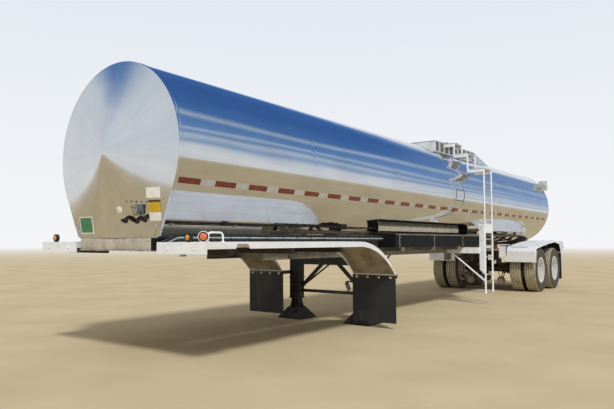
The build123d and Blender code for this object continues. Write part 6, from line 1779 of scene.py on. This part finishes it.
# The same coat in pale brown: flat, in broad patches.
pale_brown_coat = surface(
    "bitumen_undercoat_pale_brown", ("#8b806d", "#a89d89"), 200, (0.8, 0.95), 0.0, ((12, 12, 12), 1.0, 0.15),
    stain=("#6d6353", (150, 150, 150)),
)
arch_xs = [FENDER_TAIL_X + 0.01 + ARCH_STEP * n for n in range(ARCH_POINTS)]
front_arch = [Vector((x, 0, fender_top(x))) for x in reversed(arch_xs)]
for end_name, line, coat in (("front", front_arch, pale_brown_coat), ("rear", fender_line, undercoat)):
    arches = bmesh.new()
    for side in SIDES.values():
        strip(arches, inset(line, UNDERCOAT_FROM), side, 10 * MM, UNDERCOAT_T)
    piece(f"{end_name}_fender_undercoat", arches, coat)

# Rear mudflaps: the same pressed rubber as at the front, clamped to the fenders' rear edges by a
# plated strip with four bolts.
REAR_FLAP_LOW, REAR_FLAP_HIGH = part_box("rear_mudflaps")
REAR_FLAP_W = 0.656
REAR_STRIP_H = 0.04
REAR_STRIP_INSET = 0.01
BACKWARD = (-1, 0, 0)
rear_flaps = bmesh.new()
rear_strips = bmesh.new()
rear_flap_bolts = bmesh.new()
top = REAR_FLAP_HIGH.z - FLAP_DROP
face = REAR_FLAP_LOW.x - STRIP_T
for side in SIDES.values():
    inner, outer = sorted((side * (REAR_FLAP_HIGH.y - REAR_FLAP_W), side * REAR_FLAP_HIGH.y))
    low = Vector((REAR_FLAP_LOW.x, inner, REAR_FLAP_LOW.z))
    flap_sheet(rear_flaps, low, Vector((REAR_FLAP_HIGH.x, outer, REAR_FLAP_HIGH.z)))
    low = (face, inner + REAR_STRIP_INSET, top - REAR_STRIP_H)
    slab(rear_strips, low, (REAR_FLAP_LOW.x + MM, outer - REAR_STRIP_INSET, top), 1)
    ys = [inner + (outer - inner) * (0.12 + 0.2533 * n) for n in range(4)]
    bolts(rear_flap_bolts, [face], ys, [top - REAR_STRIP_H / 2], BACKWARD, 19)
piece("rear_flap_sheets", rear_flaps, flap_rubber, replaces=["rear_mudflaps"])
piece("rear_flap_strips", rear_strips, plated)
piece("rear_flap_bolts", rear_flap_bolts, plated)

# Rear bumper: square steel tube in white enamel on two posts that are bolted to the rail ends, with
# plugged ends and retroreflective film along its rear face.
BUMPER_LOW, BUMPER_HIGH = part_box("rear_bumper")
BUMPER_HALF = 0.055
BUMPER_MID_Z = BUMPER_LOW.z + BUMPER_HALF
BUMPER_TAPE_PITCH = 0.45
BUMPER_TAPE_COUNT = 5
BUMPER_RED = 0.27
BUMPER_TAPE_HALF = 0.025
PLUG_HALF = 0.052
POST_FACE_Y = 0.468
POST_Y = 0.43
POST_BOLT_XS = (BUMPER_LOW.x + 0.13, BUMPER_LOW.x + 0.17)
dress(enamel, "rear_bumper")
fittings = bmesh.new()
bumper_film = {"red": bmesh.new(), "white": bmesh.new()}
for n in range(BUMPER_TAPE_COUNT):
    start = (n - BUMPER_TAPE_COUNT / 2) * BUMPER_TAPE_PITCH
    for colour, y_from, y_to in (("red", 0, BUMPER_RED), ("white", BUMPER_RED, BUMPER_TAPE_PITCH)):
        low = (BUMPER_LOW.x - TAPE_PROUD_MM * MM, start + y_from + MM, BUMPER_MID_Z - BUMPER_TAPE_HALF)
        high = (BUMPER_LOW.x + MM, start + y_to - MM, BUMPER_MID_Z + BUMPER_TAPE_HALF)
        slab(bumper_film[colour], low, high, 0.2, segments=1)
for side in SIDES.values():
    plug = facing((BUMPER_LOW.x + BUMPER_HALF, side * BUMPER_HIGH.y, BUMPER_MID_Z), (0, side, 0))
    slab(fittings, (-PLUG_HALF, -PLUG_HALF, -4 * MM), (PLUG_HALF, PLUG_HALF, 6 * MM), 4, plug)
    bolts(fittings, POST_BOLT_XS, [side * POST_FACE_Y], (0.62, 0.70, 0.89, 0.94), (0, side, 0), 19)
    low = (BUMPER_LOW.x + 0.109, side * POST_Y - 0.052, BUMPER_MID_Z + 0.05)
    slab(fittings, low, (BUMPER_LOW.x + 0.196, side * POST_Y + 0.052, BUMPER_MID_Z + 0.062), 2)
piece("bumper_tape_red", bumper_film["red"], tape_red)
piece("bumper_tape_white", bumper_film["white"], tape_white)
piece("bumper_fittings", fittings, black_paint)

# Tail lamps: pressed aluminium boxes on arms from the rails, each with two red moulded lenses in
# rubber grommets, bolts in its corners and a side marker. A blank plate is bolted to the left arm.
TAIL_LOW, TAIL_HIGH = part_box("tail_lamp_housings")
TAIL_Z = (TAIL_LOW.z + TAIL_HIGH.z) / 2
TAIL_LAMP_YS = (1.065, 1.215)
TAIL_R = 0.05
TAIL_BOLT_YS = (1.005, 1.14, 1.275)
TAIL_BOLT_IN = 0.015
SIDE_MARKER = ((0, -0.001), (0.032, -0.001), (0.032, 0.002), (0.026, 0.004), (0, 0.0045))
PLATE_AT = (TAIL_LOW.x + 0.07, 0.73, 1.035)
PLATE_HALF = (0.1525, 0.076)
PLATE_T = 0.0015
dress(weathered_aluminium, "tail_lamp_housings")
tail_seals = bmesh.new()
tail_lenses = bmesh.new()
tail_bolts = bmesh.new()
blank_plate = bmesh.new()
for side in SIDES.values():
    for y in TAIL_LAMP_YS:
        place = facing((TAIL_LOW.x, side * y, TAIL_Z), BACKWARD)
        grommet(tail_seals, place, TAIL_R, 0.017, 0.012, 0.005)
        lens_dome(tail_lenses, place, TAIL_R - 0.013, 0.005, 0.016, 0.006)
    for x, along in ((TAIL_LOW.x, BACKWARD), (TAIL_HIGH.x, FORWARD)):
        zs = (TAIL_LOW.z + TAIL_BOLT_IN, TAIL_HIGH.z - TAIL_BOLT_IN)
        bolts(tail_bolts, [x], [side * y for y in TAIL_BOLT_YS], zs, along, 11)
    marker = facing((TAIL_LOW.x + 0.065, side * 1.29, TAIL_Z), (0, side, 0))
    lathe(tail_lenses, SIDE_MARKER, marker, 32)
plate_place = facing(PLATE_AT, BACKWARD)
half_w, half_h = PLATE_HALF
slab(blank_plate, (-half_w, -half_h, -MM), (half_w, half_h, PLATE_T), 1, plate_place)
corners = [(-half_w, -half_h), (half_w, -half_h), (half_w, half_h), (-half_w, half_h)]
for start, end in zip(corners, corners[1:] + corners[:1]):
    rod(blank_plate, [plate_place @ Vector((*corner, MM)) for corner in (start, end)], 0.003, 8)
for x in (-0.09, 0.09):
    bolt(tail_bolts, plate_place @ Matrix.Translation((x, 0.0, PLATE_T)), 11)
piece("tail_lamp_seals", tail_seals, grommet_rubber, replaces=["tail_lamps"])
piece("tail_lamp_lenses", tail_lenses, red_lens)
piece("tail_lamp_bolts", tail_bolts, plated)
piece("rear_blank_plate", blank_plate, plate_materials["white"])

# Rim boxes: small painted boxes on the shoulders of the rear rim, each with a gasketed lid held by
# screws ahead and behind, and a red marker lens on its rear lid.
RIM_LOW, RIM_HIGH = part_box("rear_rim_boxes")
RIM_BOX_Y = RIM_HIGH.y - 0.1
RIM_BOX_Z = (RIM_LOW.z + RIM_HIGH.z) / 2
LID_HALF = (0.07, 0.085)
GASKET_HALF = (0.072, 0.087)
LID_SCREW_AT = (0.06, 0.075)
RIM_LENS_SEAT = ((0, -0.001), (0.036, -0.001), (0.036, 0.006), (0.03, 0.01), (0, 0.01))
# Grey-green paint on aluminium, chalked by the sun, with darker upright runs.
rim_paint = surface(
    "aluminium_grey_green_paint", ("#c2cac2", "#dbe1d9"), 60, (0.35, 0.55), 0.0, ((2, 2, 2), 0.03, 0.04),
    edge=("#f0f2ee", 2), dust=("#b7ae9a", 0.3), stain=("#8f958c", (30, 30, 120)),
)
dress(rim_paint, "rear_rim_boxes")
rim_lids = bmesh.new()
rim_gaskets = bmesh.new()
rim_screws = bmesh.new()
for side_name, side in SIDES.items():
    lid_y, lid_z = side * RIM_BOX_Y + side * 0.02, RIM_BOX_Z + 0.03
    for x, along in ((RIM_HIGH.x, FORWARD), (RIM_LOW.x, BACKWARD)):
        place = facing((x, lid_y, lid_z), along)
        half_x, half_y = GASKET_HALF
        slab(rim_gaskets, (-half_x, -half_y, -MM), (half_x, half_y, 2 * MM), 1, place)
        half_x, half_y = LID_HALF
        slab(rim_lids, (-half_x, -half_y, 2 * MM), (half_x, half_y, 5 * MM), 1.5, place)
        for dx in (-LID_SCREW_AT[0], LID_SCREW_AT[0]):
            for dy in (-LID_SCREW_AT[1], LID_SCREW_AT[1]):
                bolt(rim_screws, place @ Matrix.Translation((dx, dy, 5 * MM)), 8)
    lens_place = facing((RIM_LOW.x - 5 * MM, lid_y, lid_z), BACKWARD)
    lathe(rim_gaskets, RIM_LENS_SEAT, lens_place, 32)
    rim_lens = bmesh.new()
    lens_dome(rim_lens, lens_place, 0.028, 0.008, 0.01, 0.012, 32)
    piece(f"rim_box_lens_{side_name}", rim_lens, red_lens)
piece("rim_box_lids", rim_lids, rim_paint)
piece("rim_box_gaskets", rim_gaskets, grommet_rubber)
piece("rim_box_screws", rim_screws, plated)

# Outlet: stainless pipe down from the tank into a butterfly valve between bolted flanges, worked by
# a flat lever with a rubber grip, and closed by a cast coupling cap with two cam ears.
VALVE_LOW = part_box("outlet_valve")[0]
CAP_LOW, CAP_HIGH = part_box("outlet_cap")
OUTLET_Z = (CAP_LOW.z + CAP_HIGH.z) / 2
VALVE_X = -6.415
FLANGE_AT = 0.047
FLANGE = ((0.05, -0.006), (0.098, -0.006), (0.098, 0.006), (0.05, 0.006))
FLANGE_BOLT_RING = 0.0905
FLANGE_BOLTS = 8
CAP_FACE = (
    # radius and height over the cap's end
    (0, -0.002), (0.066, -0.002), (0.066, 0.004), (0.05, 0.007), (0.048, 0.004), (0.012, 0.004), (0, 0.008),
)
GRIP_HALF = 0.019
GRIP_LEN = 0.06
GRIP_RIBS = 5
EAR_POINTS = ((0.02, 0.088), (0.055, 0.1), (0.105, 0.105))
PULL_RING_X = 0.12
PULL_RING_R = 0.016
dress(satin_steel, "outlet_valve")
dress(cast_aluminium, "outlet_cap")
outlet = bmesh.new()
outlet_bolts = bmesh.new()
grip = bmesh.new()
for out in (1, -1):
    lathe(outlet, FLANGE, facing((VALVE_X + out * FLANGE_AT, 0, OUTLET_Z), FORWARD), 48, closed=True)
    for a in round_angles(FLANGE_BOLTS, 0.5):
        spot_y, spot_z = FLANGE_BOLT_RING * cos(a), OUTLET_Z + FLANGE_BOLT_RING * sin(a)
        bolt(outlet_bolts, facing((VALVE_X + out * 0.053, spot_y, spot_z), (out, 0, 0)), 11)
foot = VALVE_LOW.z + MM
half = GRIP_HALF
slab(grip, (VALVE_X - half, -half, foot), (VALVE_X + half, half, foot + GRIP_LEN), 5, segments=3)
half = GRIP_HALF + 1.5 * MM
for n in range(GRIP_RIBS):
    low = foot + 6 * MM + 10 * MM * n
    slab(grip, (VALVE_X - half, -half, low), (VALVE_X + half, half, low + 5 * MM), 1.5)
lathe(outlet, CAP_FACE, facing((CAP_LOW.x, 0, OUTLET_Z), BACKWARD), 48)
for side in SIDES.values():
    rod(outlet, bent([(CAP_LOW.x + x, side * y, OUTLET_Z) for x, y in EAR_POINTS], 0.03), 0.006, 10)
    ring_x = CAP_LOW.x + PULL_RING_X
    ring = [(PULL_RING_R * cos(a), PULL_RING_R * sin(a)) for a in [*round_angles(20), 2 * pi]]
    rod(outlet, [(ring_x + x, side * 0.105, OUTLET_Z + z) for x, z in ring], 0.0025, 8)
piece("outlet_flanges", outlet, cast_aluminium)
piece("outlet_bolts", outlet_bolts, plated)
piece("outlet_lever_grip", grip, grommet_rubber)
